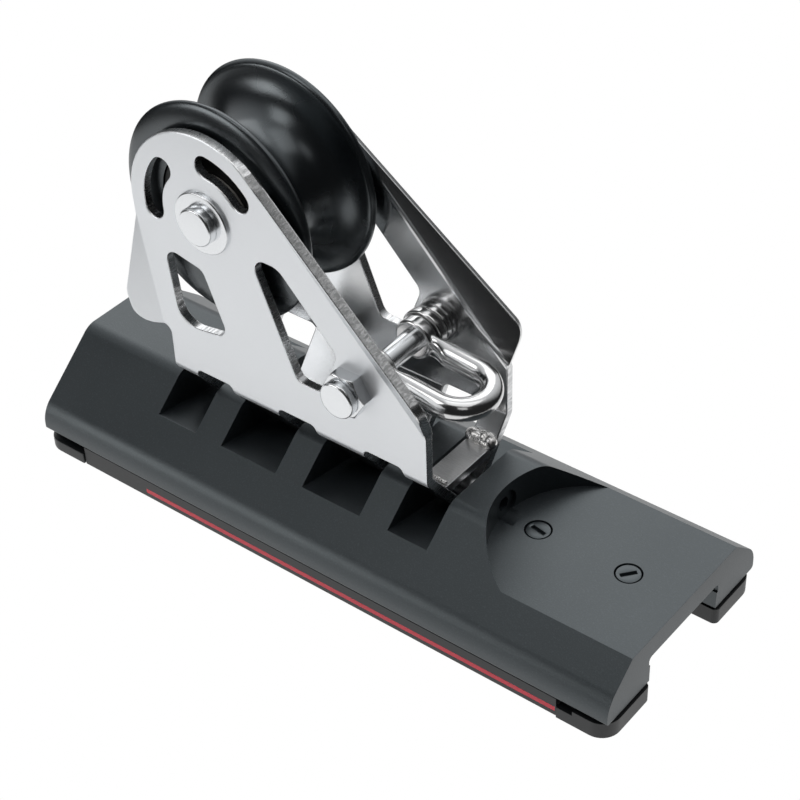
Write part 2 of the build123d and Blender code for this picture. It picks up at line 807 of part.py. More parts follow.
nodes = {
    "car_body": car_body(),
    "deck_screws": Compound([
        deck_screw(deck_screw_places[0], deck_slot_angle_1),
        deck_screw(deck_screw_places[1], deck_slot_angle_2),
    ]),
    "tower_pin": tower_pin(),
    "tower_pin_plug": pin_plug(),
    "tower_frame": frame,
    "tie_strip": strip,
    "tie_welds": tie_welds(frame, strip),
    "sheave": sheave(),
    "sheave_axle": sheave_axle(),
    "bearing_race": ring(axle_x, axle_z, axle_radius + axle_fit, race_radius, -cheek_inner_y, cheek_inner_y),
    "bearing_rollers": sheave_rollers(),
    "shackle_bow": shackle_bow(),
    "shackle_pin": shackle_pin(),
    "shackle_pin_nut": pin_nut(),
    "keeper_screws": keeper_screws(),
}
for name, side in (("near", -1), ("far", 1)):
    cover_y = cover_face_y - cover_thickness
    nodes["bearing_cover_" + name] = ring(
        axle_x, axle_z, race_radius + 0.3, cover_radius, side * cover_y, side * cover_face_y
    )
    nodes["thrust_washer_" + name] = ring(
        axle_x, axle_z, race_radius + bearing_fit, thrust_radius,
        side * (cover_face_y + thrust_gap), side * (cheek_inner_y - thrust_gap / 2),
    )
    nodes["axle_washer_" + name] = ring(
        axle_x, axle_z, axle_radius + axle_fit, axle_washer_radius,
        side * cheek_half_width, side * (cheek_half_width + axle_washer_thickness),
    )
    nodes["pin_collar_" + name] = pin_collar(side)
    nodes["ball_rail_" + name] = rail(side)
    nodes["balls_" + name] = balls(side)
    nodes["pinstripe_" + name] = stripe_block() if side > 0 else far_copy(stripe_block())
    nodes["keeper_front_" + name] = keeper(1, side)
    nodes["keeper_rear_" + name] = keeper(-1, side)

for name, shape in nodes.items():
    export_step(shape, "parts/" + name + ".step")
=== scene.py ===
# %% [markdown]
# An outhaul car runs on ball bearings along a track on the boom and pulls the
# corner of a mainsail aft. This lesson dresses its solid model for a studio
# photograph. The solids arrive as a fixed frame, so each piece below is built
# straight into its own place, and nothing is moved afterwards. The car's sizes
# are written in millimetres, and the factor MM turns them into metres.

# %% Load the fixed frame
import json
import math
import bmesh
import bpy
from mathutils import Matrix, Vector, noise

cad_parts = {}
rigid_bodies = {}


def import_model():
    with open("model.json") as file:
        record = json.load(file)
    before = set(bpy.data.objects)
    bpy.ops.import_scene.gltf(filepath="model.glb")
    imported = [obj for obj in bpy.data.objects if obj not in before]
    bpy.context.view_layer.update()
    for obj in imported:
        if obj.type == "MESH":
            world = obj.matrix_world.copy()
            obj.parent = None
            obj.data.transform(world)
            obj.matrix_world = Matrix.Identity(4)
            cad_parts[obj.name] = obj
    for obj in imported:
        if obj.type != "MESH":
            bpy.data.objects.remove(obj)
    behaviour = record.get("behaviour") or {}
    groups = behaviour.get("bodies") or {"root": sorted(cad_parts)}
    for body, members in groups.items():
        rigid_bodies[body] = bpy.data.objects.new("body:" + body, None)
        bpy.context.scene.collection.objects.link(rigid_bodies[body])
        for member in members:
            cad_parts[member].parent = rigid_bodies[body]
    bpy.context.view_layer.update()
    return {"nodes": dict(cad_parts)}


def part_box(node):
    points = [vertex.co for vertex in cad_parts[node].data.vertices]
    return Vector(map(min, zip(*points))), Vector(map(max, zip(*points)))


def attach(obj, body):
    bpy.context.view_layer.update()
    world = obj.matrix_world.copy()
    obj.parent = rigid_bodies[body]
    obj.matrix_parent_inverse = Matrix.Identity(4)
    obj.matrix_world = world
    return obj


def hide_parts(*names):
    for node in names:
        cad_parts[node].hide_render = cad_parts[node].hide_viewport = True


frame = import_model()
scene = bpy.context.scene
MM = 0.001
SIDES = (("near", -1), ("far", 1))

# %% [markdown]
# The lens decides how fast the far rim of the sheave shrinks behind the near
# one. A 90 mm lens half a metre away gives the same narrowing as the product
# shot, with the camera turned 39 degrees round to the front and 39 degrees up.

# %% Camera
def studio_camera(azimuth, elevation, roll, shift_right, shift_up, distance):
    """Angles in degrees, distances in millimetres from the middle of the car's foot."""
    az, el, ro = (math.radians(v) for v in (azimuth, elevation, roll))
    back = Vector((math.sin(az) * math.cos(el), -math.cos(az) * math.cos(el), math.sin(el)))
    level = Vector((math.cos(az), math.sin(az), 0))
    rise = back.cross(level)
    right = level * math.cos(ro) + rise * math.sin(ro)
    up = rise * math.cos(ro) - level * math.sin(ro)
    camera = bpy.data.objects.new("camera", bpy.data.cameras.new("camera"))
    scene.collection.objects.link(camera)
    turn = Matrix((right, up, back)).transposed().to_4x4()
    place = (right * shift_right + up * shift_up + back * distance) * MM
    camera.matrix_world = Matrix.Translation(place) @ turn
    camera.data.lens, camera.data.sensor_width = 90, 36
    camera.data.clip_start, camera.data.clip_end = 0.01, 20
    return camera


scene.camera = studio_camera(
    azimuth=39.29, elevation=38.69, roll=-2.16, shift_right=4.3, shift_up=28.1, distance=508.9,
)
scene.view_settings.view_transform = "Standard"
print("camera at", [round(v, 3) for v in scene.camera.matrix_world.translation])

# %% [markdown]
# A shader is a small network of nodes. Written out by hand, each link takes a
# line of its own. One helper makes the network read like a formula: it adds a
# node and fills its inputs with numbers or with what other nodes put out.

# %% Node helpers
def shader(owner):
    """Gives back the empty node tree of a material or a world."""
    owner.use_nodes = True
    owner.node_tree.nodes.clear()
    return owner.node_tree


def node(tree, kind, **values):
    """A key that starts with in_ names an input: a socket is linked to it, a value is set."""
    made = tree.nodes.new(kind)
    for key, value in values.items():
        if not key.startswith("in_"):
            setattr(made, key, value)
            continue
        title = key[3:]
        socket = made.inputs[int(title) if title.isdigit() else title.replace("_", " ")]
        if isinstance(value, bpy.types.NodeSocket):
            tree.links.new(value, socket)
        else:
            socket.default_value = value
    return made


def maths(tree, operation, *terms, **settings):
    places = {"in_" + str(i): term for i, term in enumerate(terms)}
    return node(tree, "ShaderNodeMath", operation=operation, **settings, **places).outputs[0]


def faded(tree, value, start, end, low, high):
    """Goes softly from low to high while the value goes from start to end."""
    return node(
        tree, "ShaderNodeMapRange", interpolation_type="SMOOTHSTEP", in_Value=value,
        in_From_Min=start, in_From_Max=end, in_To_Min=low, in_To_Max=high,
    ).outputs[0]


def mixed(tree, share, first, second):
    return node(tree, "ShaderNodeMixShader", in_0=share, in_1=first, in_2=second).outputs[0]


print("node helpers ready")

# %% [markdown]
# Polished steel shows whatever stands round it, so the room matters more than
# the lamps. The steel cheeks look down at the floor, which glows in their
# reflections with painted light, white round the car and fading out: that makes
# them pale. The black shoulders look up to the front left, where the room is dim.
# The level tops look up to the back left, where the room is brightest.

# %% Floor and room
WHITE_CENTRE, WHITE_REACH, DARK_REACH = (-0.09, -0.01, 0), 0.18, 0.26
BRIGHT_WAY = Vector((-0.42, 0.66, 0.62)).normalized()


def floor_shade(tree):
    """What steel sees in the floor: a painted glow, white round the car and fading out to a dark
    room, that stands in for lit paper.
    """
    where = node(tree, "ShaderNodeTexCoord").outputs["Object"]
    far = node(tree, "ShaderNodeVectorMath", operation="DISTANCE", in_0=where, in_1=WHITE_CENTRE)
    return faded(tree, far.outputs["Value"], WHITE_REACH, DARK_REACH, 0.96, 0.02)


def pale_floor(half=4):
    mesh = bpy.data.meshes.new("floor")
    corners = [(-half, -half, 0), (half, -half, 0), (half, half, 0), (-half, half, 0)]
    mesh.from_pydata(corners, [], [(0, 1, 2, 3)])
    floor = bpy.data.objects.new("floor", mesh)
    floor.location.z = -0.0002
    scene.collection.objects.link(floor)
    mat = bpy.data.materials.new("floor_paper_with_painted_glow")
    tree = shader(mat)
    paper = node(tree, "ShaderNodeBsdfDiffuse", in_Color=(0.80, 0.80, 0.81, 1)).outputs[0]
    # Reflections see the floor glow: painted light, a pool of white round the car that fades out.
    mirrored = node(tree, "ShaderNodeEmission", in_Strength=floor_shade(tree)).outputs[0]
    backdrop = node(tree, "ShaderNodeEmission").outputs[0]
    rays = node(tree, "ShaderNodeLightPath").outputs
    glossy = maths(tree, "MAXIMUM", rays["Is Glossy Ray"], rays["Is Transmission Ray"])
    last = mixed(tree, rays["Is Camera Ray"], mixed(tree, glossy, paper, mirrored), backdrop)
    node(tree, "ShaderNodeOutputMaterial", in_0=last)
    mesh.materials.append(mat)


def soft_room():
    """White for the camera. For the car, dim, and brighter towards one side."""
    world = scene.world or bpy.data.worlds.new("room")
    scene.world = world
    tree = shader(world)
    where = node(tree, "ShaderNodeTexCoord").outputs["Generated"]
    towards = node(tree, "ShaderNodeVectorMath", operation="DOT_PRODUCT", in_0=where, in_1=BRIGHT_WAY)
    ramp = faded(tree, towards.outputs["Value"], 0.15, 0.95, 0.02, 0.80)
    dim = node(tree, "ShaderNodeBackground", in_Color=(0.97, 0.985, 1, 1), in_Strength=ramp)
    white = node(tree, "ShaderNodeBackground", in_Color=(1, 1, 1, 1))
    seen = node(tree, "ShaderNodeLightPath").outputs["Is Camera Ray"]
    last = mixed(tree, seen, dim.outputs[0], white.outputs[0])
    node(tree, "ShaderNodeOutputWorld", in_0=last)


pale_floor()
soft_room()
print("floor and room ready")

# %% [markdown]
# The lamps are wide and soft, so each leaves a broad pale patch and no hard
# spot. The one at the back greys the level deck, the key puts the highlight in
# the sheave's groove, and the others lift the sides a little.

# %% Soft boxes
def soft_box(name, place, aim, size, watts):
    """Place in metres, aim in metres above the middle of the car's foot."""
    lamp = bpy.data.lights.new(name, "AREA")
    lamp.shape, lamp.energy = "RECTANGLE", watts
    lamp.size, lamp.size_y = size
    box = bpy.data.objects.new(name, lamp)
    box.location = place
    look = Vector((0, 0, aim)) - Vector(place)
    box.rotation_euler = look.to_track_quat("-Z", "Y").to_euler()
    scene.collection.objects.link(box)


soft_box("box_back", (-0.62, 0.85, 0.95), aim=0.04, size=(1.2, 1.0), watts=4.0)
soft_box("box_front", (-0.75, -1.05, 0.30), aim=0.03, size=(0.7, 0.45), watts=3)
soft_box("box_key", (-0.25, -0.47, 0.90), aim=0.05, size=(0.40, 0.45), watts=1.1)
soft_box("box_top", (0.25, 0.10, 1.15), aim=0.05, size=(0.8, 0.8), watts=1.6)
soft_box("box_right", (0.80, -0.50, 1.0), aim=0.05, size=(0.35, 0.5), watts=0.35)
print("soft boxes:", [lamp.name for lamp in bpy.data.lights])

# %% [markdown]
# Machined and moulded surfaces are never one flat colour. Two effects cover
# this object and are shared as node groups: a fine speckle for anodising and
# moulded plastic, and drawn-out scratches for brushed and cut steel. Each puts
# out a colour, a roughness and a normal that change over the surface.

# %% Shared shader groups
def new_group(name, colours, numbers, vectors=()):
    group = bpy.data.node_groups.new(name, "ShaderNodeTree")
    numbers = [*numbers, "Roughness", "Roughness swing", "Relief"]
    for titles, kind in ((colours, "Color"), (vectors, "Vector"), (numbers, "Float")):
        for title in titles:
            group.interface.new_socket(title, in_out="INPUT", socket_type="NodeSocket" + kind)
    for title, kind in (("Colour", "Color"), ("Roughness", "Float"), ("Normal", "Vector")):
        group.interface.new_socket(title, in_out="OUTPUT", socket_type="NodeSocket" + kind)
    return group, group.nodes.new("NodeGroupInput").outputs


def noise_texture(group, where, scale, detail, roughness=0.5):
    return node(
        group, "ShaderNodeTexNoise", in_Vector=where, in_Scale=scale, in_Detail=detail,
        in_Roughness=roughness,
    ).outputs["Fac"]


def put_out(group, given, second, share, swing, height, depth):
    """Mixes the two colours, swings the roughness and raises the height into a normal."""
    tint = node(
        group, "ShaderNodeMix", data_type="RGBA",
        in_0=share, in_6=given["Colour"], in_7=given[second],
    )
    rough = maths(group, "MULTIPLY_ADD", swing, given["Roughness swing"], given["Roughness"])
    bump = node(
        group, "ShaderNodeBump", in_Distance=depth, in_Height=height, in_Strength=given["Relief"],
    )
    node(
        group, "NodeGroupOutput",
        in_Colour=tint.outputs[2], in_Roughness=rough, in_Normal=bump.outputs[0],
    )
    return group


def speckle_group():
    group, given = new_group(
        "fine_speckle", ["Colour", "Fleck"],
        ["Grain per metre", "Cloud per metre", "Fleck share", "Cloud share"],
    )
    where = node(group, "ShaderNodeTexCoord").outputs["Object"]
    grain = noise_texture(group, where, given["Grain per metre"], 3.0, 0.6)
    cloud = noise_texture(group, where, given["Cloud per metre"], 2.0)
    sharp = node(group, "ShaderNodeMapRange", in_Value=grain, in_From_Min=0.52, in_From_Max=0.72)
    fleck = maths(group, "MULTIPLY", sharp.outputs[0], given["Fleck share"])
    patch = maths(group, "MULTIPLY", cloud, given["Cloud share"])
    share = maths(group, "ADD", fleck, patch, use_clamp=True)
    swing = maths(group, "SUBTRACT", cloud, 0.5)
    return put_out(group, given, "Fleck", share, swing, grain, 0.00005)


def brushing_group():
    group, given = new_group(
        "brushed_lines", ["Colour", "Line colour"], ["Line share", "Cloud per metre"], ["Lines"],
    )
    where = node(group, "ShaderNodeTexCoord").outputs["Object"]
    drawn = node(group, "ShaderNodeVectorMath", operation="MULTIPLY", in_0=where, in_1=given["Lines"])
    lines = noise_texture(group, drawn.outputs[0], 1.0, 4.0, 0.65)
    cloud = noise_texture(group, where, given["Cloud per metre"], 3.0)
    sharp = node(group, "ShaderNodeMapRange", in_Value=lines, in_From_Min=0.35, in_From_Max=0.75)
    share = maths(group, "MULTIPLY", sharp.outputs[0], given["Line share"])
    swing = maths(group, "MULTIPLY", sharp.outputs[0], cloud)
    return put_out(group, given, "Line colour", share, swing, lines, 0.00003)


speckle = speckle_group()
brushing = brushing_group()
print("groups:", speckle.name, brushing.name)

# %% [markdown]
# Each finish is one material: a Principled shader whose steady values sit on
# its own sockets, and a shared group that drives what changes over the
# surface. Hard anodising is a dark dye under a thin clear oxide, so it reflects
# a little like plastic and not like bare metal. Stainless steel is a metal, and
# mostly its roughness tells a satin cheek from a polished shackle.

# %% Material builder
def finish(name, group, given, **steady):
    mat = bpy.data.materials.new(name)
    tree = shader(mat)
    effect = node(tree, "ShaderNodeGroup", node_tree=group)
    for title, value in given.items():
        effect.inputs[title].default_value = value
    constants = {"in_" + title: value for title, value in steady.items()}
    surface = node(
        tree, "ShaderNodeBsdfPrincipled", **constants, in_Base_Color=effect.outputs["Colour"],
        in_Roughness=effect.outputs["Roughness"], in_Normal=effect.outputs["Normal"],
    )
    node(tree, "ShaderNodeOutputMaterial", in_0=surface.outputs[0])
    return mat


def grey(value, blue=0.0):
    return (value, value * (1 + blue / 2), value * (1 + blue), 1)


OXIDE_SHEEN = {"Specular_IOR_Level": 0.95, "Specular_Tint": (0.86, 0.96, 1.0, 1)}
print("sheen of an oxide:", OXIDE_SHEEN)

# %% Steel finishes
def steel(name, colour, line_colour, lines, share, rough, relief, metallic=1.0):
    """Lines are per metre along each axis. Rough is the roughness and its swing."""
    given = {
        "Colour": colour, "Line colour": line_colour, "Lines": lines, "Line share": share,
        "Cloud per metre": 50.0, "Roughness": rough[0], "Roughness swing": rough[1],
        "Relief": relief,
    }
    return finish(name, brushing, given, Metallic=metallic)


cheek_steel = steel(
    "satin_cheek_steel", grey(0.86, 0.05), grey(0.80, 0.05), lines=(900, 900, 5200),
    share=0.25, rough=(0.32, 0.06), relief=0.015, metallic=0.70,
)
inner_steel = steel(
    "polished_inner_steel", grey(0.74, 0.02), grey(0.66, 0.02), lines=(1200, 1200, 2500),
    share=0.25, rough=(0.17, 0.05), relief=0.008,
)
cut_steel = steel(
    "cut_edge_steel", grey(0.84, 0.02), grey(0.12, 0.05), lines=(1700, 250, 1700),
    share=0.75, rough=(0.24, 0.20), relief=0.4,
)
# The rims' pale colour is a painted highlight, a bright line round each window; the dark lines in it
# are rubbing.
rim_steel = steel(
    "rubbed_rim_steel", grey(0.90), grey(0.30), lines=(1400, 1400, 1400),
    share=0.5, rough=(0.22, 0.20), relief=0.3,
)
strip_steel = steel(
    "brushed_strip_steel", grey(0.76), grey(0.40), lines=(500, 9000, 500),
    share=0.6, rough=(0.30, 0.20), relief=0.4,
)
turned_steel = steel(
    "turned_steel", grey(0.84, 0.04), grey(0.66, 0.04), lines=(3000, 3000, 3000),
    share=0.35, rough=(0.22, 0.12), relief=0.10,
)
shackle_steel = steel(
    "polished_shackle_steel", grey(0.68), grey(0.60), lines=(700, 700, 700),
    share=0.3, rough=(0.14, 0.10), relief=0.10,
)
weld_steel = steel(
    "weld_bead_steel", grey(0.80, -0.02), (0.55, 0.50, 0.44, 1), lines=(900, 900, 900),
    share=0.4, rough=(0.24, 0.20), relief=0.4,
)
print("steel finishes ready")

# %% Black, red and pale finishes
def speckled(name, colour, fleck, grain, rough, relief, share=0.3, cloud=(60.0, 0.3), **steady):
    """Grain is per metre. Cloud is its rate per metre and its share."""
    given = {
        "Colour": colour, "Fleck": fleck, "Grain per metre": grain, "Fleck share": share,
        "Cloud per metre": cloud[0], "Cloud share": cloud[1],
        "Roughness": rough[0], "Roughness swing": rough[1], "Relief": relief,
    }
    return finish(name, speckle, given, **steady)


anodised = speckled(
    "charcoal_anodising", grey(0.0085, 0.55), grey(0.038, 0.30), 2600, rough=(0.40, 0.08),
    relief=0.50, share=0.60, cloud=(45.0, 0.25), **OXIDE_SHEEN,
)
black_screw = speckled(
    "black_oxide_screw", grey(0.014, 0.5), grey(0.045, 0.3), 5000, rough=(0.36, 0.1),
    relief=0.15, **OXIDE_SHEEN,
)
sheave_black = speckled(
    "glossy_black_sheave", grey(0.0060, 0.5), grey(0.016, 0.3), 2500, rough=(0.27, 0.06),
    relief=0.05, share=0.2, IOR=1.70, Specular_IOR_Level=0.80, Specular_Tint=(0.88, 0.96, 1.0, 1),
)
cover_black = speckled(
    "black_bearing_cover", grey(0.012), grey(0.025), 3000, rough=(0.40, 0.1), relief=0.2,
)
rail_black = speckled(
    "black_moulded_rail", grey(0.008, 0.3), grey(0.02, 0.2), 3000, rough=(0.42, 0.10),
    relief=0.25, share=0.25, cloud=(60.0, 0.25),
)
red_inlay = speckled(
    "red_inlay", (0.93, 0.05, 0.09, 1), (0.96, 0.09, 0.13, 1), 2500, rough=(0.38, 0.1),
    relief=0.1,
)
ball_white = speckled(
    "white_ball_plastic", (0.70, 0.69, 0.64, 1), (0.62, 0.60, 0.54, 1), 1200,
    rough=(0.22, 0.1), relief=0.05,
)
washer_pale = speckled(
    "pale_washer_plastic", (0.50, 0.49, 0.45, 1), (0.42, 0.41, 0.38, 1), 2500,
    rough=(0.40, 0.1), relief=0.1,
)
roller_dark = speckled(
    "dark_roller_plastic", (0.06, 0.05, 0.04, 1), (0.10, 0.09, 0.07, 1), 2500,
    rough=(0.35, 0.1), relief=0.1,
)
print("finishes:", len(bpy.data.materials) - 1)

# %% [markdown]
# Nearly every piece starts as a drawing: an outline whose corners have a
# radius. These helpers turn such corners, and arcs and curved slots, into
# points. A corner with radius 0 stays sharp.

# %% Drawing helpers
def rounded(corners, step=9.0):
    """Corners are x, y and radius. Each round gets a point about every step degrees."""
    points = []
    for i, (x, y, r) in enumerate(corners):
        if r == 0:
            points.append((x, y))
            continue
        here = Vector((x, y))
        before = Vector(corners[i - 1][:2])
        after = Vector(corners[(i + 1) % len(corners)][:2])
        a, b = (before - here).normalized(), (after - here).normalized()
        half = a.angle(b) / 2
        start = here + a * (r / math.tan(half))
        centre = here + (a + b).normalized() * (r / math.sin(half))
        first = math.atan2(*(start - centre).yx)
        end = here + b * (r / math.tan(half))
        sweep = math.atan2(*(end - centre).yx) - first
        sweep = (sweep + math.pi) % (2 * math.pi) - math.pi
        count = max(2, math.ceil(abs(math.degrees(sweep)) / step))
        for k in range(count + 1):
            turn = first + sweep * k / count
            points.append((centre.x + r * math.cos(turn), centre.y + r * math.sin(turn)))
    return points


def arc(cx, cy, r, start, end, step=6.0):
    count = max(1, math.ceil(abs(end - start) / step))
    turns = [math.radians(start + (end - start) * k / count) for k in range(count + 1)]
    return [(cx + r * math.cos(t), cy + r * math.sin(t)) for t in turns]


def box(x0, y0, x1, y1):
    return [(x0, y0), (x1, y0), (x1, y1), (x0, y1)]


def arc_slot(cx, cy, r, width, start, end):
    w = width / 2
    first, last = arc(cx, cy, r, start, end, abs(end - start))
    return (
        arc(cx, cy, r + w, start, end)
        + arc(*last, w, end, end + 180, 15)[1:-1]
        + arc(cx, cy, r - w, end, start)
        + arc(*first, w, start + 180, start + 360, 15)[1:-1]
    )


print("drawing helpers ready")

# %% [markdown]
# Four helpers make the plain forms: a prism, a lathe turning, a round bar and a
# ball. Booleans then do the drilling and milling, and a small bevel breaks the
# sharp rims, because a rim without one never catches the light. Weighted
# normals keep the wide faces flat beside the bevel.

# %% Making helpers
def add_piece(name, mesh, *materials):
    piece = bpy.data.objects.new(name, mesh)
    scene.collection.objects.link(piece)
    for mat in materials:
        mesh.materials.append(mat)
    return piece


def settle(piece, body, solid=None):
    """Hangs the piece on the body that carries it, and hides the solid that it stands for."""
    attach(piece, body)
    if solid:
        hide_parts(solid)
    return piece


def smooth(mesh, angle=32):
    mesh.shade_smooth()
    mesh.set_sharp_from_angle(angle=math.radians(angle))


def mesh_of(bm, name):
    bmesh.ops.recalc_face_normals(bm, faces=bm.faces)
    mesh = bpy.data.meshes.new(name)
    bm.to_mesh(mesh)
    bm.free()
    return mesh


def join_rings(bm, low, high):
    for k in range(len(low)):
        m = (k + 1) % len(low)
        bm.faces.new((low[k], low[m], high[m], high[k]))


def prism(name, points, low, high, axis="X"):
    """Pushes an outline along an axis. Its points are the other two axes, in their order."""
    along = "XYZ".index(axis)
    bm = bmesh.new()
    ends = []
    for height in (low, high):
        places = [(*p[:along], height, *p[along:]) for p in points]
        ends.append([bm.verts.new(Vector(place) * MM) for place in places])
        bm.faces.new(ends[-1])
    join_rings(bm, *ends)
    return mesh_of(bm, name)


def circle(segments):
    return [2 * math.pi * k / segments for k in range(segments)]


def turning(name, profile, centre, segments=96, y=0.0):
    """Pairs of radius and y, swept round an axis along Y. A radius of 0 closes on the axis."""
    x, z = centre
    bm = bmesh.new()
    rings = []
    for r, side in profile:
        turns = circle(segments) if r else [0]
        places = [(x + r * math.cos(t), y + side, z + r * math.sin(t)) for t in turns]
        rings.append([bm.verts.new(Vector(place) * MM) for place in places])
    for i, ring in enumerate(rings):
        other = rings[(i + 1) % len(rings)]
        if len(ring) == len(other) == segments:
            join_rings(bm, ring, other)
        elif len(ring) < len(other):
            for k in range(segments):
                bm.faces.new((ring[0], other[k], other[(k + 1) % segments]))
        elif len(ring) > len(other):
            for k in range(segments):
                bm.faces.new((ring[k], ring[(k + 1) % segments], other[0]))
    mesh = mesh_of(bm, name)
    smooth(mesh)
    return mesh


def turned(name, profile, centre, mat, segments=96):
    return add_piece(name, turning(name, profile, centre, segments), mat)


def ring(name, side, corners, step, centre, mat, segments=96):
    """A ring that is drawn for the far side, and turned over for the near side."""
    profile = [(r, side * y) for r, y in rounded(corners, step)]
    return turned(name, profile, centre, mat, segments)


def add_ball(bm, centre, radius):
    place = Matrix.Translation(Vector(centre) * MM)
    bmesh.ops.create_icosphere(bm, subdivisions=3, radius=radius * MM, matrix=place)


def bar(name, start, end, radius, segments=48):
    bm = bmesh.new()
    along = Vector(end) - Vector(start)
    turn = along.to_track_quat("Z", "Y").to_matrix().to_4x4()
    middle = (Vector(start) + Vector(end)) / 2
    bmesh.ops.create_cone(
        bm, cap_ends=True, segments=segments, radius1=radius * MM, radius2=radius * MM,
        depth=along.length * MM, matrix=Matrix.Translation(middle * MM) @ turn,
    )
    return mesh_of(bm, name)


print("making helpers ready")

# %% Shaping helpers
def baked(piece):
    """Replaces the piece's mesh by what its modifiers make of it."""
    view = bpy.context.evaluated_depsgraph_get()
    view.update()
    made = bpy.data.meshes.new_from_object(piece.evaluated_get(view))
    piece.modifiers.clear()
    piece.data = made
    return piece


def cut(piece, cutters, operation="DIFFERENCE"):
    for i, mesh in enumerate(cutters):
        tool = add_piece(piece.name + "_cutter_" + str(i), mesh)
        step = piece.modifiers.new("cut", "BOOLEAN")
        step.operation, step.solver, step.object = operation, "EXACT", tool
        baked(piece)
        bpy.data.objects.remove(tool)
    return piece


def melted(piece, voxel, passes):
    """Melts overlapping solids into one skin, with voxels of the given size in millimetres."""
    melt = piece.modifiers.new("melt", "REMESH")
    melt.mode, melt.voxel_size = "VOXEL", voxel * MM
    calm = piece.modifiers.new("calm", "SMOOTH")
    calm.iterations, calm.factor = passes, 0.5
    return baked(piece)


def flattened(piece):
    """Lets wide faces keep their own normals, so they shade flat up to a rim."""
    flats = piece.modifiers.new("flats", "WEIGHTED_NORMAL")
    flats.keep_sharp, flats.weight = True, 50
    return baked(piece)


def soften(piece, width):
    weld = piece.modifiers.new("weld", "WELD")
    weld.merge_threshold = 0.000004
    step = piece.modifiers.new("rims", "BEVEL")
    step.width, step.segments = width * MM, 2
    step.limit_method, step.angle_limit = "ANGLE", math.radians(35)
    step.miter_outer = "MITER_ARC"
    baked(piece)
    smooth(piece.data)
    return flattened(piece)


print("shaping helpers ready")

# %% [markdown]
# The tower is one stainless sheet, cut flat and then folded. That is also the
# best way to model it: draw the flat blank with its windows, give the rims a
# small radius while it is still flat, score the fold lines, and bend it there.
# The cheeks lean in below their first fold and run round the lengthwise pin.
# Both long edges flare outwards, so a rope can't chafe there.

# %% Sizes of the folded sheet
SHEET, CHEEK, LEAN = 2.5, 17.1, math.radians(38)
PIN_Z, STIRRUP, FOLD_INSIDE = 22.0, 3.3, 1.0
AXLE, CROSS_PIN, HEAD = (-36.2, 83.0), (6.4, 53.3), 23.0
REAR, FRONT = -51.5, 28.0
MID = CHEEK - SHEET / 2
FOLD_MID, FOOT_MID = FOLD_INSIDE + SHEET / 2, STIRRUP + SHEET / 2
lean_run = (MID - FOOT_MID * math.cos(LEAN)) / math.sin(LEAN)
fold_reach = FOLD_MID * math.tan(LEAN / 2)
FOLD_TOP = PIN_Z - FOOT_MID * math.sin(LEAN) + lean_run * math.cos(LEAN) + fold_reach
FOLD_ARC = FOLD_MID * LEAN
LEAN_LENGTH = lean_run - fold_reach
FOOT_ARC = FOOT_MID * (math.pi / 2 - LEAN)
BLANK_FOOT = FOLD_TOP - FOLD_ARC - LEAN_LENGTH - FOOT_ARC
print("fold starts at", round(FOLD_TOP, 2), "and the blank ends at", round(BLANK_FOOT, 2))

# %% [markdown]
# The front flare bends along the line that leaves the round head and ends at
# the front foot. The wing beyond a bend is drawn where it ends up, and one
# function works out where each of its points lay before the bend.

# %% Crease lines of the flares
FLARE, WING, FLARE_INSIDE = math.radians(30), 8.0, 1.0
FLARE_MID = FLARE_INSIDE + SHEET / 2
FLARE_START = -(FLARE_INSIDE + SHEET) * math.tan(FLARE / 2)
front_foot = Vector((FRONT, 49.6))
span = front_foot - Vector(AXLE)
touch = math.sqrt(span.length_squared - HEAD ** 2)
turn = -math.acos(touch / span.length)
run = Vector((
    span.x * math.cos(turn) - span.y * math.sin(turn),
    span.x * math.sin(turn) + span.y * math.cos(turn),
))
run.normalize()
front_head = front_foot - run * touch
front_away = Vector((-run.y, run.x))
rear_head, rear_foot = Vector((AXLE[0] - HEAD, 77.1)), Vector((-54.0, 45.3))
rear_run = (rear_foot - rear_head).normalized()
rear_away = Vector((rear_run.y, -rear_run.x))
creases = {"front": (front_foot, front_away), "rear": (rear_foot, rear_away)}
print("front crease", [round(v, 2) for v in (*front_head, *front_foot)])


def unbent(point, crease):
    """Where a point of the folded wing lies on the flat blank."""
    foot, away = creases[crease]
    d = (Vector(point) - foot).dot(away)
    arc_end = FLARE_START + FLARE_MID * math.sin(FLARE)
    if d <= FLARE_START:
        return point
    if d < arc_end:
        flat = FLARE_START + FLARE_MID * math.asin((d - FLARE_START) / FLARE_MID)
    else:
        flat = FLARE_START + FLARE_MID * FLARE + (d - arc_end) / math.cos(FLARE)
    return tuple(Vector(point) + away * (flat - d))


# %% [markdown]
# The blank's foot has a slot for each rib of the body. It is drawn a little too
# long, and the waste is trimmed off after scoring. In the lists for the front
# and the rear, the first and the last corner only steer their neighbours.

# %% The flat blank of one cheek
RIBS, RIB_HALF, SLOT_HALF, SLOT_TOP = (-38.0, -11.5, 15.0), 4.3, 6, 36.2
WING_LENGTH, WASTE = 63.3, 3
BLANK_RIM = 0.28


def blank_outline():
    low = BLANK_FOOT - WASTE
    foot = [(REAR, low, 0)]
    for rib in RIBS:
        foot += [(rib - SLOT_HALF, low, 0), (rib - SLOT_HALF, SLOT_TOP, 1.8)]
        foot += [(rib + SLOT_HALF, SLOT_TOP, 1.8), (rib + SLOT_HALF, low, 0)]
    foot += [(FRONT, low, 0)]
    corner = front_head + run * WING_LENGTH + front_away * WING * math.cos(FLARE)
    front = [(FRONT, low, 0), (*front_foot, 0.6), (*corner, 6.0), (*front_head, 0)]
    start = math.degrees(math.atan2(front_head.y - AXLE[1], front_head.x - AXLE[0]))
    rear = [
        (AXLE[0] - HEAD, 90, 0), (*rear_head, 4.0), (-62.3, 55.0, 8.0), (-60.3, 46.3, 6.0),
        (REAR, 46.3, 2.2), (REAR, low, 0),
    ]
    return (
        rounded(foot)
        + [unbent(p, "front") for p in rounded(front)[1:-1]]
        + arc(*AXLE, HEAD, start, 180)
        + [unbent(p, "rear") for p in rounded(rear)[1:-1]]
    )


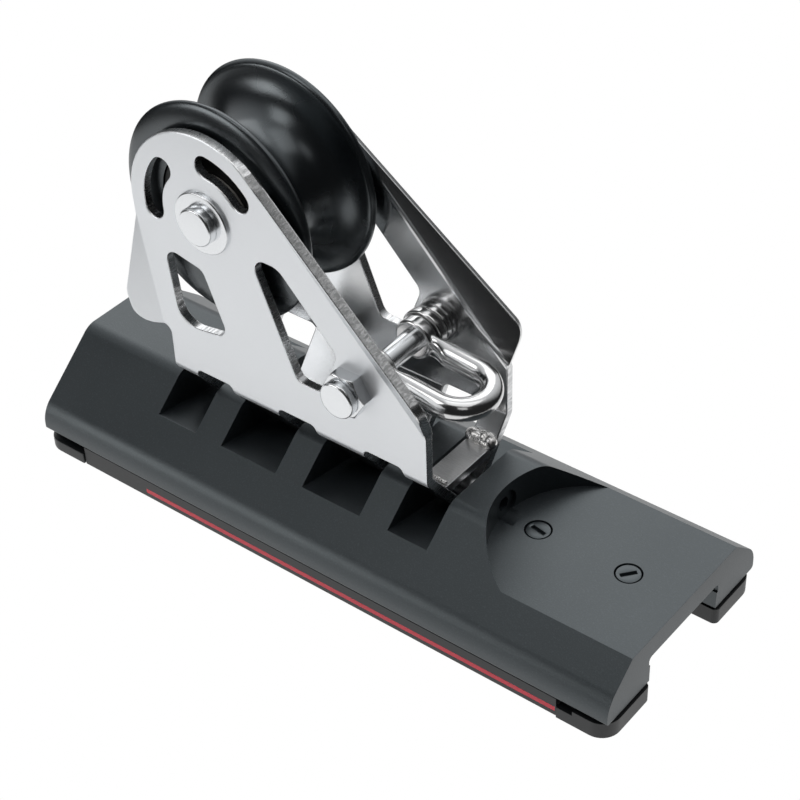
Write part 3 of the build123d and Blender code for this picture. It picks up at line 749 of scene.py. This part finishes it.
def windows():
    """Two curved slots, two windows and the bores for the axle and the shackle's pin."""
    foot_window = [(-50.3, 70.9, 3), (-38.3, 68.4, 3), (-31.7, 51.2, 3), (-47.5, 48.6, 6)]
    brace_window = [
        (-22.3, 78.8, 3), (-14.0, 78.8, 4.5), (2.6, 61.2, 3), (-2.6, 47.9, 3), (-10.2, 47.9, 3),
    ]
    return [
        arc_slot(*AXLE, 15.8, 5.8, 139, 186),
        arc_slot(*AXLE, 15.8, 5.8, 40, 82),
        rounded(foot_window),
        rounded(brace_window),
        arc(*AXLE, 4.45, 0, 355, 5),
        arc(*CROSS_PIN, 3.05, 0, 352, 8),
    ]


def soft_sheet(name, outlines, thickness, rim):
    """A filled curve gives a flat sheet with holes and a rounded rim in one go."""
    curve = bpy.data.curves.new(name, "CURVE")
    curve.dimensions, curve.fill_mode = "2D", "BOTH"
    curve.extrude = (thickness / 2 - rim) * MM
    curve.bevel_depth, curve.bevel_resolution, curve.offset = rim * MM, 1, -rim * MM
    for points in outlines:
        spline = curve.splines.new("POLY")
        spline.points.add(len(points) - 1)
        for point, place in zip(spline.points, points):
            point.co = (place[0] * MM, place[1] * MM, 0, 1)
        spline.use_cyclic_u = True
    holder = bpy.data.objects.new(name + "_curve", curve)
    mesh = bpy.data.meshes.new_from_object(holder)
    bpy.data.objects.remove(holder)
    return mesh


blank = soft_sheet("cheek_blank", [blank_outline()] + windows(), SHEET, BLANK_RIM)
print("blank:", len(blank.vertices), "points")

# %% [markdown]
# A bend needs edges to bend along, so the blank is scored with a few parallel
# lines across each fold. Then every point is moved by the same rule that a
# press brake follows: the middle of the sheet keeps its length, and the two
# skins run on a larger and a smaller radius. The second cheek is its mirror.

# %% Fold the blank
SATIN, CUT, POLISHED, RIM = range(4)
LOWEST_FLARE = 44


def score(bm, co, no):
    everything = bm.verts[:] + bm.edges[:] + bm.faces[:]
    bmesh.ops.bisect_plane(bm, geom=everything, dist=1e-7, plane_co=Vector(co) * MM, plane_no=no)


def score_folds(bm):
    for k in range(5):
        score(bm, (0, FOLD_TOP - FOLD_ARC * k / 4, 0), (0, 1, 0))
    for k in range(7):
        score(bm, (0, BLANK_FOOT + FOOT_ARC * k / 6, 0), (0, 1, 0))
    for foot, away in creases.values():
        for k in range(4):
            d = FLARE_START + FLARE_MID * FLARE * k / 3
            score(bm, (*(foot + away * d), 0), (*away, 0))


def give_finishes(bm):
    """Satin cheeks, polished inner faces and legs, cut walls, and rims between them: rubbed, and pale
    with a painted highlight.
    """
    for face in bm.faces:
        side = face.normal.z
        if abs(side) > 0.9:
            cheek = side > 0 and face.calc_center_median().y > (FOLD_TOP - FOLD_ARC) * MM
            face.material_index = SATIN if cheek else POLISHED
        else:
            face.material_index = CUT if abs(side) < 0.2 else RIM


def leg_folded(s, w):
    """Half width and height of the leg, s below the fold's top and w over the mid sheet."""
    if s <= FOLD_ARC:
        bend = s / FOLD_MID
        y = MID - FOLD_MID + (FOLD_MID + w) * math.cos(bend)
        return y, FOLD_TOP - (FOLD_MID + w) * math.sin(bend)
    if s <= FOLD_ARC + LEAN_LENGTH:
        t = s - FOLD_ARC
        y = MID - FOLD_MID + (FOLD_MID + w) * math.cos(LEAN) - t * math.sin(LEAN)
        return y, FOLD_TOP - (FOLD_MID + w) * math.sin(LEAN) - t * math.cos(LEAN)
    bend = LEAN + (s - FOLD_ARC - LEAN_LENGTH) / FOOT_MID
    return (FOOT_MID + w) * math.cos(bend), PIN_Z - (FOOT_MID + w) * math.sin(bend)


def folded(x, v, w):
    """The place, on the far side, of blank point x, v at height w over the mid sheet."""
    if v < FOLD_TOP:
        return x, *leg_folded(FOLD_TOP - v, w)
    y, z = MID + w, v
    if v < LOWEST_FLARE:
        return x, y, z
    for foot, away in creases.values():
        d = (Vector((x, v)) - foot).dot(away) - FLARE_START
        if d <= 0:
            continue
        bend = min(d / FLARE_MID, FLARE)
        rest = max(0.0, d - FLARE_MID * FLARE)
        across = (FLARE_MID - w) * math.sin(bend) + rest * math.cos(bend) + FLARE_START
        y = MID + FLARE_MID - (FLARE_MID - w) * math.cos(bend) + rest * math.sin(bend)
        x, z = Vector((x, v)) + away * (across - d - FLARE_START)
    return x, y, z


def tower_mesh():
    bm = bmesh.new()
    bm.from_mesh(blank)
    bmesh.ops.remove_doubles(bm, verts=bm.verts, dist=2e-6)
    score_folds(bm)
    waste = [v for v in bm.verts if v.co.y < BLANK_FOOT * MM - 1e-6]
    bmesh.ops.delete(bm, geom=waste, context="VERTS")
    give_finishes(bm)
    for vert in bm.verts:
        vert.co = Vector(folded(*(vert.co / MM))) * MM
    twin = bmesh.ops.duplicate(bm, geom=bm.verts[:] + bm.edges[:] + bm.faces[:])["geom"]
    for vert in twin:
        if isinstance(vert, bmesh.types.BMVert):
            vert.co.y = -vert.co.y
    bmesh.ops.reverse_faces(bm, faces=[g for g in twin if isinstance(g, bmesh.types.BMFace)])
    bmesh.ops.remove_doubles(bm, verts=bm.verts, dist=4e-6)
    mesh = mesh_of(bm, "folded_tower")
    smooth(mesh, 20)
    return mesh


tower = add_piece("folded_tower", tower_mesh(), cheek_steel, cut_steel, inner_steel, rim_steel)
settle(flattened(tower), "car", "tower_frame")
print("tower:", len(tower.data.polygons), "faces")

# %% [markdown]
# A flat strip ties the front legs of the tower together, so they can't spread
# under load. It is welded in, and a weld is a row of frozen puddles.
# Overlapping round blobs merged by a fine remesh give just that.

# %% Tie strip and its welds
TIE_TOP, TIE_REAR, TIE_FIT = 29.2, 21.0, 0.02
PUDDLES, PUDDLE_PITCH = 9, 0.65


def leg_inside(z):
    """Half the room between the leaning legs at height z."""
    return STIRRUP * math.cos(LEAN) + (z - PIN_Z + STIRRUP * math.sin(LEAN)) * math.tan(LEAN)


def tie_mesh():
    low, high = leg_inside(TIE_TOP - SHEET) - TIE_FIT, leg_inside(TIE_TOP) - TIE_FIT
    ends = [(-low, TIE_TOP - SHEET), (-high, TIE_TOP), (high, TIE_TOP), (low, TIE_TOP - SHEET)]
    return prism("tie_strip_plate", ends, TIE_REAR, FRONT)


def weld_bead(name, side, radius, swing, solid=None):
    bm = bmesh.new()
    for k in range(PUDDLES):
        size = radius + swing * noise.noise(Vector((k * 1.7, side * 3.0, 0.4)))
        stray = 0.5 * noise.noise(Vector((k * 0.9, side * 5.0, 2.2)))
        x = TIE_REAR + 0.9 + k * PUDDLE_PITCH
        y = side * (leg_inside(TIE_TOP) - 0.9 + stray)
        add_ball(bm, (x, y, TIE_TOP + 0.5 + stray / 2), size)
    piece = melted(add_piece(name, mesh_of(bm, name)), 0.15, 2)
    piece.data.materials.append(weld_steel)
    smooth(piece.data, 80)
    return settle(piece, "car", solid)


tie = soften(add_piece("tie_strip_plate", tie_mesh(), strip_steel), 0.25)
settle(tie, "car", "tie_strip")
beads = [
    weld_bead("weld_bead_near", -1, 0.55, 0.2, "tie_welds"),
    weld_bead("weld_bead_far", 1, 1.9, 0.6),
]
print("welds:", [len(b.data.polygons) for b in beads])

# %% [markdown]
# The car's body is an aluminium extrusion, sawn to length and milled. The
# section carries the shape: broad feet, soft flanks, sloping shoulders and a
# narrow level crown over the track's channel. The mill then cuts four troughs
# across it and sinks the deck at the front. The same order works here, with a
# prism for the extrusion and booleans for the mill.

# %% Car body
BODY_LONG, BODY_HALF, BODY_FOOT = 88.5, 31.75, 5.4
SHOULDER_Y, SHOULDER_Z, CROWN = 30.8, 12.0, 27.8
SLOPE = math.tan(math.radians(40))
DECK, CHANNEL_HALF, CHANNEL_TOP = 19.1, 14.4, 13.0
CHANNEL_STEP, CHANNEL_STEP_Z = 0.5, 10.4
TROUGH_EDGE, TROUGH_MIDDLE, TROUGH_REAR, TROUGH_FRONT = 19.6, 15.6, -55, 31
WALL_X, WALL_RADIUS = 62.5, 24.3
PAST_SIDE, PAST_END, PAST_TOP = 34, 92, 32


def body_outline():
    crown_y = SHOULDER_Y - (CROWN - SHOULDER_Z) / SLOPE
    wide = CHANNEL_HALF + CHANNEL_STEP
    outside = [
        (CHANNEL_HALF, BODY_FOOT, 0), (BODY_HALF, BODY_FOOT, 0.9),
        (BODY_HALF, SHOULDER_Z - (BODY_HALF - SHOULDER_Y) * SLOPE, 8.0), (crown_y, CROWN, 6.0),
    ]
    inside = [(CHANNEL_HALF, CHANNEL_STEP_Z, 0), (wide, CHANNEL_STEP_Z, 0), (wide, CHANNEL_TOP, 1.2)]
    mirrored = [(-y, z, r) for y, z, r in outside[::-1] + inside]
    return rounded(outside + mirrored + inside[::-1], 5)


def trough_outline():
    edge_y = SHOULDER_Y - (TROUGH_EDGE - SHOULDER_Z) / SLOPE
    out, top = 33, 30
    out_z = TROUGH_MIDDLE + (TROUGH_EDGE - TROUGH_MIDDLE) / edge_y * out
    return rounded([
        (0, TROUGH_MIDDLE, 5), (out, out_z, 0), (out, top, 0), (-out, top, 0), (-out, out_z, 0),
    ])


def deck_cutter():
    wall = arc(WALL_X, 0, WALL_RADIUS, 90, 270, 4)
    ahead = [(WALL_X, -PAST_SIDE), (PAST_END, -PAST_SIDE), (PAST_END, PAST_SIDE), (WALL_X, PAST_SIDE)]
    return prism("deck", wall + ahead, DECK, PAST_TOP, "Z")


trough_starts = [TROUGH_REAR] + [rib + RIB_HALF for rib in RIBS]
trough_ends = [rib - RIB_HALF for rib in RIBS] + [TROUGH_FRONT]
body = add_piece("milled_body", prism("milled_body", body_outline(), -BODY_LONG, BODY_LONG), anodised)
cut(body, [prism("trough", trough_outline(), a, b) for a, b in zip(trough_starts, trough_ends)])
cut(body, [deck_cutter()])
print("body after milling:", len(body.data.polygons), "faces")

# %% [markdown]
# The bores come last, because each has to break through the finished form: the
# lengthwise pin and its plug, a seat for each deck screw, and two half-round
# grooves for the balls. Then a bevel breaks all the rims at once.

# %% Bores and rims of the body
BALL_Y, BALL_GROOVE, RUN_HALF = 15.7, 3.22, 74.7
SCREW_INNER, SCREW_OUTER = 47.7, 73.0
PIN_REAR, PLUG_REAR, BORE_FRONT = -63, 34.2, 42
bores = [
    bar("pin_bore", (PIN_REAR, 0, PIN_Z), (BORE_FRONT, 0, PIN_Z), 3.28),
    bar("plug_bore", (PLUG_REAR, 0, PIN_Z), (BORE_FRONT, 0, PIN_Z), 3.9),
]
for name, side in SIDES:
    y = side * BALL_Y
    ends = (-RUN_HALF, y, BODY_FOOT), (RUN_HALF, y, BODY_FOOT)
    bores.append(bar("ball_groove_" + name, *ends, BALL_GROOVE))
bores += [bar("screw_seat", (x, 0, 12), (x, 0, 20), 3.42) for x in (SCREW_INNER, SCREW_OUTER)]
soften(cut(body, bores), 0.28)
settle(body, "car", "car_body")
print("body:", len(body.data.polygons), "faces")

# %% [markdown]
# Two screws lie flush in the low deck. What tells them apart from printed
# rings is depth: a slot with real walls and a dark gap round the head, which
# the bevelled shoulder of the head leaves open.

# %% Deck screws
SCREW_FOOT, SCREW_TOP, SLOT_LONG, SLOT_WIDE = 13.2, 18.95, 2.1, 0.6


def slotted_screw(name, x, angle, solid=None):
    profile = [
        (0, SCREW_FOOT), (3.2, SCREW_FOOT), (3.25, 18.2), (2.95, 18.6), (2.95, SCREW_TOP),
        (0, SCREW_TOP),
    ]
    place = Matrix.Translation((x * MM, 0, 0))
    head = turning(name, profile, (0, 0))
    head.transform(place @ Matrix.Rotation(math.pi / 2, 4, "X"))
    corners = [(*p, 0.15) for p in box(-SLOT_LONG, -SLOT_WIDE, SLOT_LONG, SLOT_WIDE)]
    slot = prism("slot", rounded(corners), 18.0, 20.0, "Z")
    slot.transform(place @ Matrix.Rotation(math.radians(angle), 4, "Z"))
    piece = soften(cut(add_piece(name, head, black_screw), [slot]), 0.08)
    return settle(piece, "car", solid)


deck_screws = [
    slotted_screw("deck_screw_inner", SCREW_INNER, -10, "deck_screws"),
    slotted_screw("deck_screw_outer", SCREW_OUTER, 51),
]
print("screws:", [s.name for s in deck_screws])

# %% [markdown]
# The sheave is turned on a lathe, so one profile swept round the axle is the
# whole wheel. The groove is deep and round, its rims are thin and rolled over,
# and a step in each side takes the bearing's cover.

# %% Sheave and covers
GROOVE_CENTRE, GROOVE_RADIUS = 27.4, 10.4
LIP, RIM_Y, RIM_RADIUS, FACE_IN, FACE_WIDE = 26.9, 11.9, 1.5, 22.5, 5.9
SHEAVE_BORE, STEP_RADIUS, STEP_Y, SIDE_Y = 11.15, 16.5, 11.3, 12.9
COVER_IN, COVER_OUT, COVER_Y = 7.35, 16.4, 12.6


def sheave_profile():
    groove = arc(GROOVE_CENTRE, 0, GROOVE_RADIUS, 94.5, 265.5, 6)
    lip = arc(LIP, -RIM_Y, RIM_RADIUS, 70, 8, 12)
    quarter = [math.radians(t) for t in range(0, 91, 6)]
    face = [(FACE_IN + FACE_WIDE * math.cos(t), -RIM_Y - RIM_RADIUS * math.sin(t)) for t in quarter]
    near_rim = lip + face
    far_rim = [(r, -side) for r, side in near_rim[::-1]]
    near_step = [(STEP_RADIUS, -SIDE_Y), (STEP_RADIUS, -STEP_Y), (SHEAVE_BORE, -STEP_Y)]
    far_step = [(r, -side) for r, side in near_step[::-1]]
    return far_rim + groove + near_rim + near_step + far_step


wheel = turned("turned_sheave", sheave_profile(), AXLE, sheave_black, 144)
settle(wheel, "sheave", "sheave")
for name, side in SIDES:
    cover = ring("cover_ring_" + name, side, [
        (COVER_IN, STEP_Y, 0), (COVER_OUT, STEP_Y, 0), (COVER_OUT, COVER_Y, 0.35),
        (COVER_IN, COVER_Y, 0.35),
    ], 30, AXLE, cover_black)
    settle(cover, "sheave", "bearing_cover_" + name)
print("sheave:", len(wheel.data.polygons), "faces")

# %% [markdown]
# The axle is a plain pin. On each side a thin washer lies on the cheek, and the
# pin's end is peened over it to a low head with a rounded rim. The profile runs
# from the far head's middle down to the near head's.

# %% Axle, washers and heads
AXLE_RADIUS, WASHER_THICK, WASHER_IN, WASHER_OUT = 4.4, 0.9, 4.5, 8.2
AXLE_HEAD, AXLE_HEAD_TALL = 4.95, 2.3


def axle_profile():
    face = CHEEK + WASHER_THICK
    tall = face + AXLE_HEAD_TALL
    head = rounded([
        (AXLE_RADIUS, face, 0), (AXLE_HEAD, face, 0.2), (AXLE_HEAD, tall, 0.6), (0, tall, 0),
    ], 15)
    return head[::-1] + [(r, -y) for r, y in head]


peened = turned("peened_axle", axle_profile(), AXLE, turned_steel)
settle(peened, "car", "sheave_axle")
for name, side in SIDES:
    top = CHEEK + WASHER_THICK
    washer = ring("axle_ring_" + name, side, [
        (WASHER_IN, CHEEK, 0), (WASHER_OUT, CHEEK, 0), (WASHER_OUT, top, 0.4),
        (WASHER_IN, top, 0.2),
    ], 20, AXLE, turned_steel)
    settle(washer, "car", "axle_washer_" + name)
print("axle ready")

# %% [markdown]
# The shackle is forged from round bar: the bow is one even bend, and its ends
# swell into flat-faced eyes. Separate solids melted together by a fine remesh
# give the soft flow from bar to eye that a hard union lacks.

# %% Shackle
SPREAD, BAR, REACH, DROOP = 7.8, 2.95, 26.0, 6
NECK, FULL, EYE, EYE_HALF, EYE_FIT = 6.5, 9.4, 5.3, 1.8, 0.05
EYE_BORE = 3.06


def swept_bar(name, path, segments=32):
    """The bar along the path: full and round, but flattened near the eyes."""
    bm = bmesh.new()
    rings = []
    for i, here in enumerate(path):
        ahead = path[min(i + 1, len(path) - 1)] - path[max(i - 1, 0)]
        side = ahead.cross(Vector((0, 0, 1))).normalized()
        full = min(max((here.x - NECK) / (FULL - NECK), 0), 1)
        half = EYE_HALF - EYE_FIT + (BAR - EYE_HALF + EYE_FIT) * full
        rings.append([
            bm.verts.new((here + side * half * math.cos(t) + Vector((0, 0, BAR * math.sin(t)))) * MM)
            for t in circle(segments)
        ])
    for low, high in zip(rings, rings[1:]):
        join_rings(bm, low, high)
    bm.faces.new(rings[0])
    bm.faces.new(rings[-1])
    return mesh_of(bm, name)


def bow_path():
    bend_x, start, count = REACH - SPREAD, 3.5, 16
    leg = [Vector((start + t * (bend_x - start) / count, -SPREAD, 0)) for t in range(count)]
    bend = [Vector((x, y, 0)) for x, y in arc(bend_x, 0, SPREAD, -90, 90, 7)]
    return leg + bend + [Vector((p.x, SPREAD, 0)) for p in leg[::-1]]


bow = add_piece("forged_bow", swept_bar("forged_bow", bow_path()))
eye = rounded([(0, -EYE_HALF, 0), (EYE, -EYE_HALF, 0.6), (EYE, EYE_HALF, 0.6), (0, EYE_HALF, 0)], 15)
for name, side in SIDES:
    cut(bow, [turning("eye_" + name, eye, (0, 0), 64, side * SPREAD)], "UNION")
melted(bow, 0.25, 5)
cut(bow, [bar("eye_bore", (0, -20, 0), (0, 20, 0), EYE_BORE, 64)])
hang = Matrix.Rotation(math.radians(DROOP), 4, "Y")
pin_x, pin_z = CROSS_PIN
bow.data.transform(Matrix.Translation(Vector((pin_x, 0, pin_z)) * MM) @ hang)
bow.data.materials.clear()
bow.data.materials.append(shackle_steel)
smooth(bow.data, 40)
settle(bow, "shackle", "shackle_bow")
print("bow:", len(bow.data.polygons), "faces")

# %% [markdown]
# The pin that carries the shackle crosses both cheeks. Stepped collars keep the
# eyes off the steel, a hexagon sits on the near cheek, and the pin's end is
# swelled over it like a rivet. The hexagon keeps only what it shares with a
# cone, which gives it its chamfered corners.

# %% Pin and hexagon
NUT_THICK, NUT_FLAT, NUT_BORE = 3.4, 5.4, 3.05
PIN_RADIUS, PIN_END, PIN_END_TALL, PIN_HEAD, PIN_HEAD_TALL = 3.0, 4.8, 2.4, 5.2, 3.0


def pin_profile():
    near, far = -CHEEK - NUT_THICK, CHEEK
    end = [
        (0, near - PIN_END_TALL, 0), (PIN_END, near - PIN_END_TALL, 0.7), (PIN_END, near, 0.5),
        (PIN_RADIUS, near, 0),
    ]
    head = [
        (PIN_RADIUS, far, 0), (PIN_HEAD, far, 0.3), (PIN_HEAD, far + PIN_HEAD_TALL, 0.8),
        (0, far + PIN_HEAD_TALL, 0),
    ]
    return rounded(end, 15) + rounded(head, 15)


def hexagon_mesh():
    corner = NUT_FLAT / math.cos(math.pi / 6)
    points = [(pin_x + corner * math.cos(t), pin_z + corner * math.sin(t)) for t in circle(6)]
    return prism("pin_hexagon", points, -CHEEK - NUT_THICK, -CHEEK, "Y")


def chamfer_cone():
    top = -CHEEK - NUT_THICK
    profile = [(0, top), (5.3, top), (7.2, top + 1.1), (7.2, -CHEEK), (0, -CHEEK)]
    return turning("chamfer_cone", profile, CROSS_PIN, 64)


cross_pin = turned("cross_pin", pin_profile(), CROSS_PIN, turned_steel, 64)
settle(cross_pin, "car", "shackle_pin")
hexagon = add_piece("pin_hexagon", hexagon_mesh(), turned_steel)
cut(hexagon, [chamfer_cone()], "INTERSECT")
cut(hexagon, [bar("thread_bore", (pin_x, -30, pin_z), (pin_x, 0, pin_z), NUT_BORE)])
settle(soften(hexagon, 0.2), "car", "shackle_pin_nut")

# %% Stepped collars
COLLAR_BORE, COLLAR_WIDE, COLLAR_FOOT, COLLAR_NECK = 3.05, 6.0, 5.5, 4.5
COLLAR_IN, COLLAR_OUT = 9.75, 14.6
NECK_IN, NECK_OUT = 12.2, 12.8
for name, side in SIDES:
    collar = ring("stepped_collar_" + name, side, [
        (COLLAR_BORE, COLLAR_IN, 0), (COLLAR_WIDE, COLLAR_IN, 0.5), (COLLAR_WIDE, NECK_IN, 0.5),
        (COLLAR_NECK, NECK_IN, 0.2), (COLLAR_NECK, NECK_OUT, 0.2), (COLLAR_FOOT, NECK_OUT, 0.4),
        (COLLAR_FOOT, COLLAR_OUT, 0.3), (COLLAR_BORE, COLLAR_OUT, 0),
    ], 20, CROSS_PIN, shackle_steel, 64)
    settle(collar, "car", "pin_collar_" + name)
print("pin, hexagon and collars ready")

# %% [markdown]
# Under the aluminium lies black moulded plastic: a rail on each side that
# holds the balls in their run, with a thin red inlay let into its outer face.
# The inlay is a piece of its own in a groove of its own size, so its edge stays
# crisp, which a painted line on a coarse mesh wouldn't.

# %% Rails and inlays
RAIL_INSET, BAND_SPARE, RAIL_RIM, RUN_PAST = 0.25, 0.15, 0.22, 80


def rail_mesh(name, side):
    outer = BODY_HALF - RAIL_INSET
    section = box(side * CHANNEL_HALF, 0, side * outer, BODY_FOOT)
    return prism(name, section, -RUN_HALF, RUN_HALF)


def inlay_mesh(name, solid):
    """The solid stripe's own box, a little taller."""
    low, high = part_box(solid)
    foot, top = low.z / MM - BAND_SPARE, high.z / MM + BAND_SPARE
    return prism(name, box(low.y / MM, foot, high.y / MM, top), low.x / MM, high.x / MM)


for name, side in SIDES:
    stripe, rail_name, inlay_name = "pinstripe_" + name, "moulded_rail_" + name, "red_inlay_" + name
    rail = add_piece(rail_name, rail_mesh(rail_name, side), rail_black)
    inlay = add_piece(inlay_name, inlay_mesh(inlay_name, stripe), red_inlay)
    y = side * BALL_Y
    ball_run = bar("ball_run", (-RUN_PAST, y, BODY_FOOT), (RUN_PAST, y, BODY_FOOT), BALL_GROOVE)
    cut(rail, [ball_run, inlay_mesh("stripe_groove", stripe)])
    settle(inlay, "car", stripe)
    settle(soften(rail, RAIL_RIM), "car", "ball_rail_" + name)
print("rails and inlays ready")

# %% [markdown]
# A keeper at each corner closes the run of the balls. It has a thin shelf, so a
# dark slot shows between it and the body, and a post that reaches up to the
# body. All four are one drawing, turned over for each corner.

# %% Keepers
KEEPER_X, KEEPER_TIP, KEEPER_TOP = 75.0, 89.0, 4.6
SHELF_X, SHELF_TOP, SHELF_DEEP = 4.3, 3.3, 3
POST_X, POST_FOOT = 4, 3.0
SCREW_X, SCREW_Y, SCREW_DEEP, SCREW_HOLE = 83.1, 23, 1.9, 2.75


def keeper_parts(name, end):
    """The plate, the cutter that thins its shelf and the post, for the far front corner."""
    outer = BODY_HALF + 0.2
    inner = outer - SHELF_DEEP
    open_x = KEEPER_X + SHELF_X if end > 0 else KEEPER_TIP + 1
    plan = rounded([
        (KEEPER_X, CHANNEL_HALF, 0), (KEEPER_TIP, CHANNEL_HALF, 1.5), (KEEPER_TIP, outer, 5),
        (KEEPER_X, outer, 0),
    ], 10)
    shelf = box(KEEPER_X - 1, inner, open_x, outer + 1)
    post = box(KEEPER_X, CHANNEL_HALF, KEEPER_X + POST_X, inner)
    return [
        prism(name, plan, 0, KEEPER_TOP, "Z"), prism("shelf", shelf, SHELF_TOP, 6, "Z"),
        prism("post", post, POST_FOOT, BODY_FOOT, "Z"),
    ]


def keeper_piece(name, end, side):
    parts = keeper_parts(name, end)
    for mesh in parts:
        mesh.transform(Matrix.Diagonal((end, side, 1, 1)))
        if end * side < 0:
            mesh.flip_normals()
    plate, shelf, post = parts
    x, y = end * SCREW_X, side * SCREW_Y
    piece = add_piece(name, plate, rail_black)
    cut(piece, [shelf])
    cut(piece, [post], "UNION")
    cut(piece, [bar("screw_hole", (x, y, -1), (x, y, SCREW_DEEP), SCREW_HOLE)])
    return soften(piece, 0.3)


for row, end in (("front", 1), ("rear", -1)):
    for name, side in SIDES:
        corner = row + "_" + name
        keeper = keeper_piece("moulded_keeper_" + corner, end, side)
        settle(keeper, "car", "keeper_" + corner)
print("keepers ready")

# %% [markdown]
# The balls touch the track, so they are true spheres here, even though their
# solids are plainer. They stand in one row a side, evenly spaced about the
# middle of the car.

# %% Balls
BALL_COUNT, BALL_PITCH, BALL_RADIUS = 20, 6.35, 3.1


def ball_row(name, side):
    bm = bmesh.new()
    for k in range(BALL_COUNT):
        x = (k - (BALL_COUNT - 1) / 2) * BALL_PITCH
        add_ball(bm, (x, side * BALL_Y, BODY_FOOT), BALL_RADIUS)
    row = add_piece(name, mesh_of(bm, name), ball_white)
    smooth(row.data, 60)
    return row


for name, side in SIDES:
    settle(ball_row("ball_row_" + name, side), "car", "balls_" + name)
print("balls ready")

# %% [markdown]
# Some solids are already right as they come: the lengthwise pin and its plug,
# the bearing's race, rollers and washers, and the keepers' screws. They only
# take their finishes.

# %% Finishes on the solids that stay
kept = {
    "tower_pin": turned_steel, "tower_pin_plug": black_screw, "bearing_race": turned_steel,
    "bearing_rollers": roller_dark, "thrust_washer_near": washer_pale,
    "thrust_washer_far": washer_pale, "keeper_screws": turned_steel,
}
for name, mat in kept.items():
    solid = frame["nodes"][name]
    solid.data.materials.clear()
    solid.data.materials.append(mat)
print("kept solids:", sorted(kept))
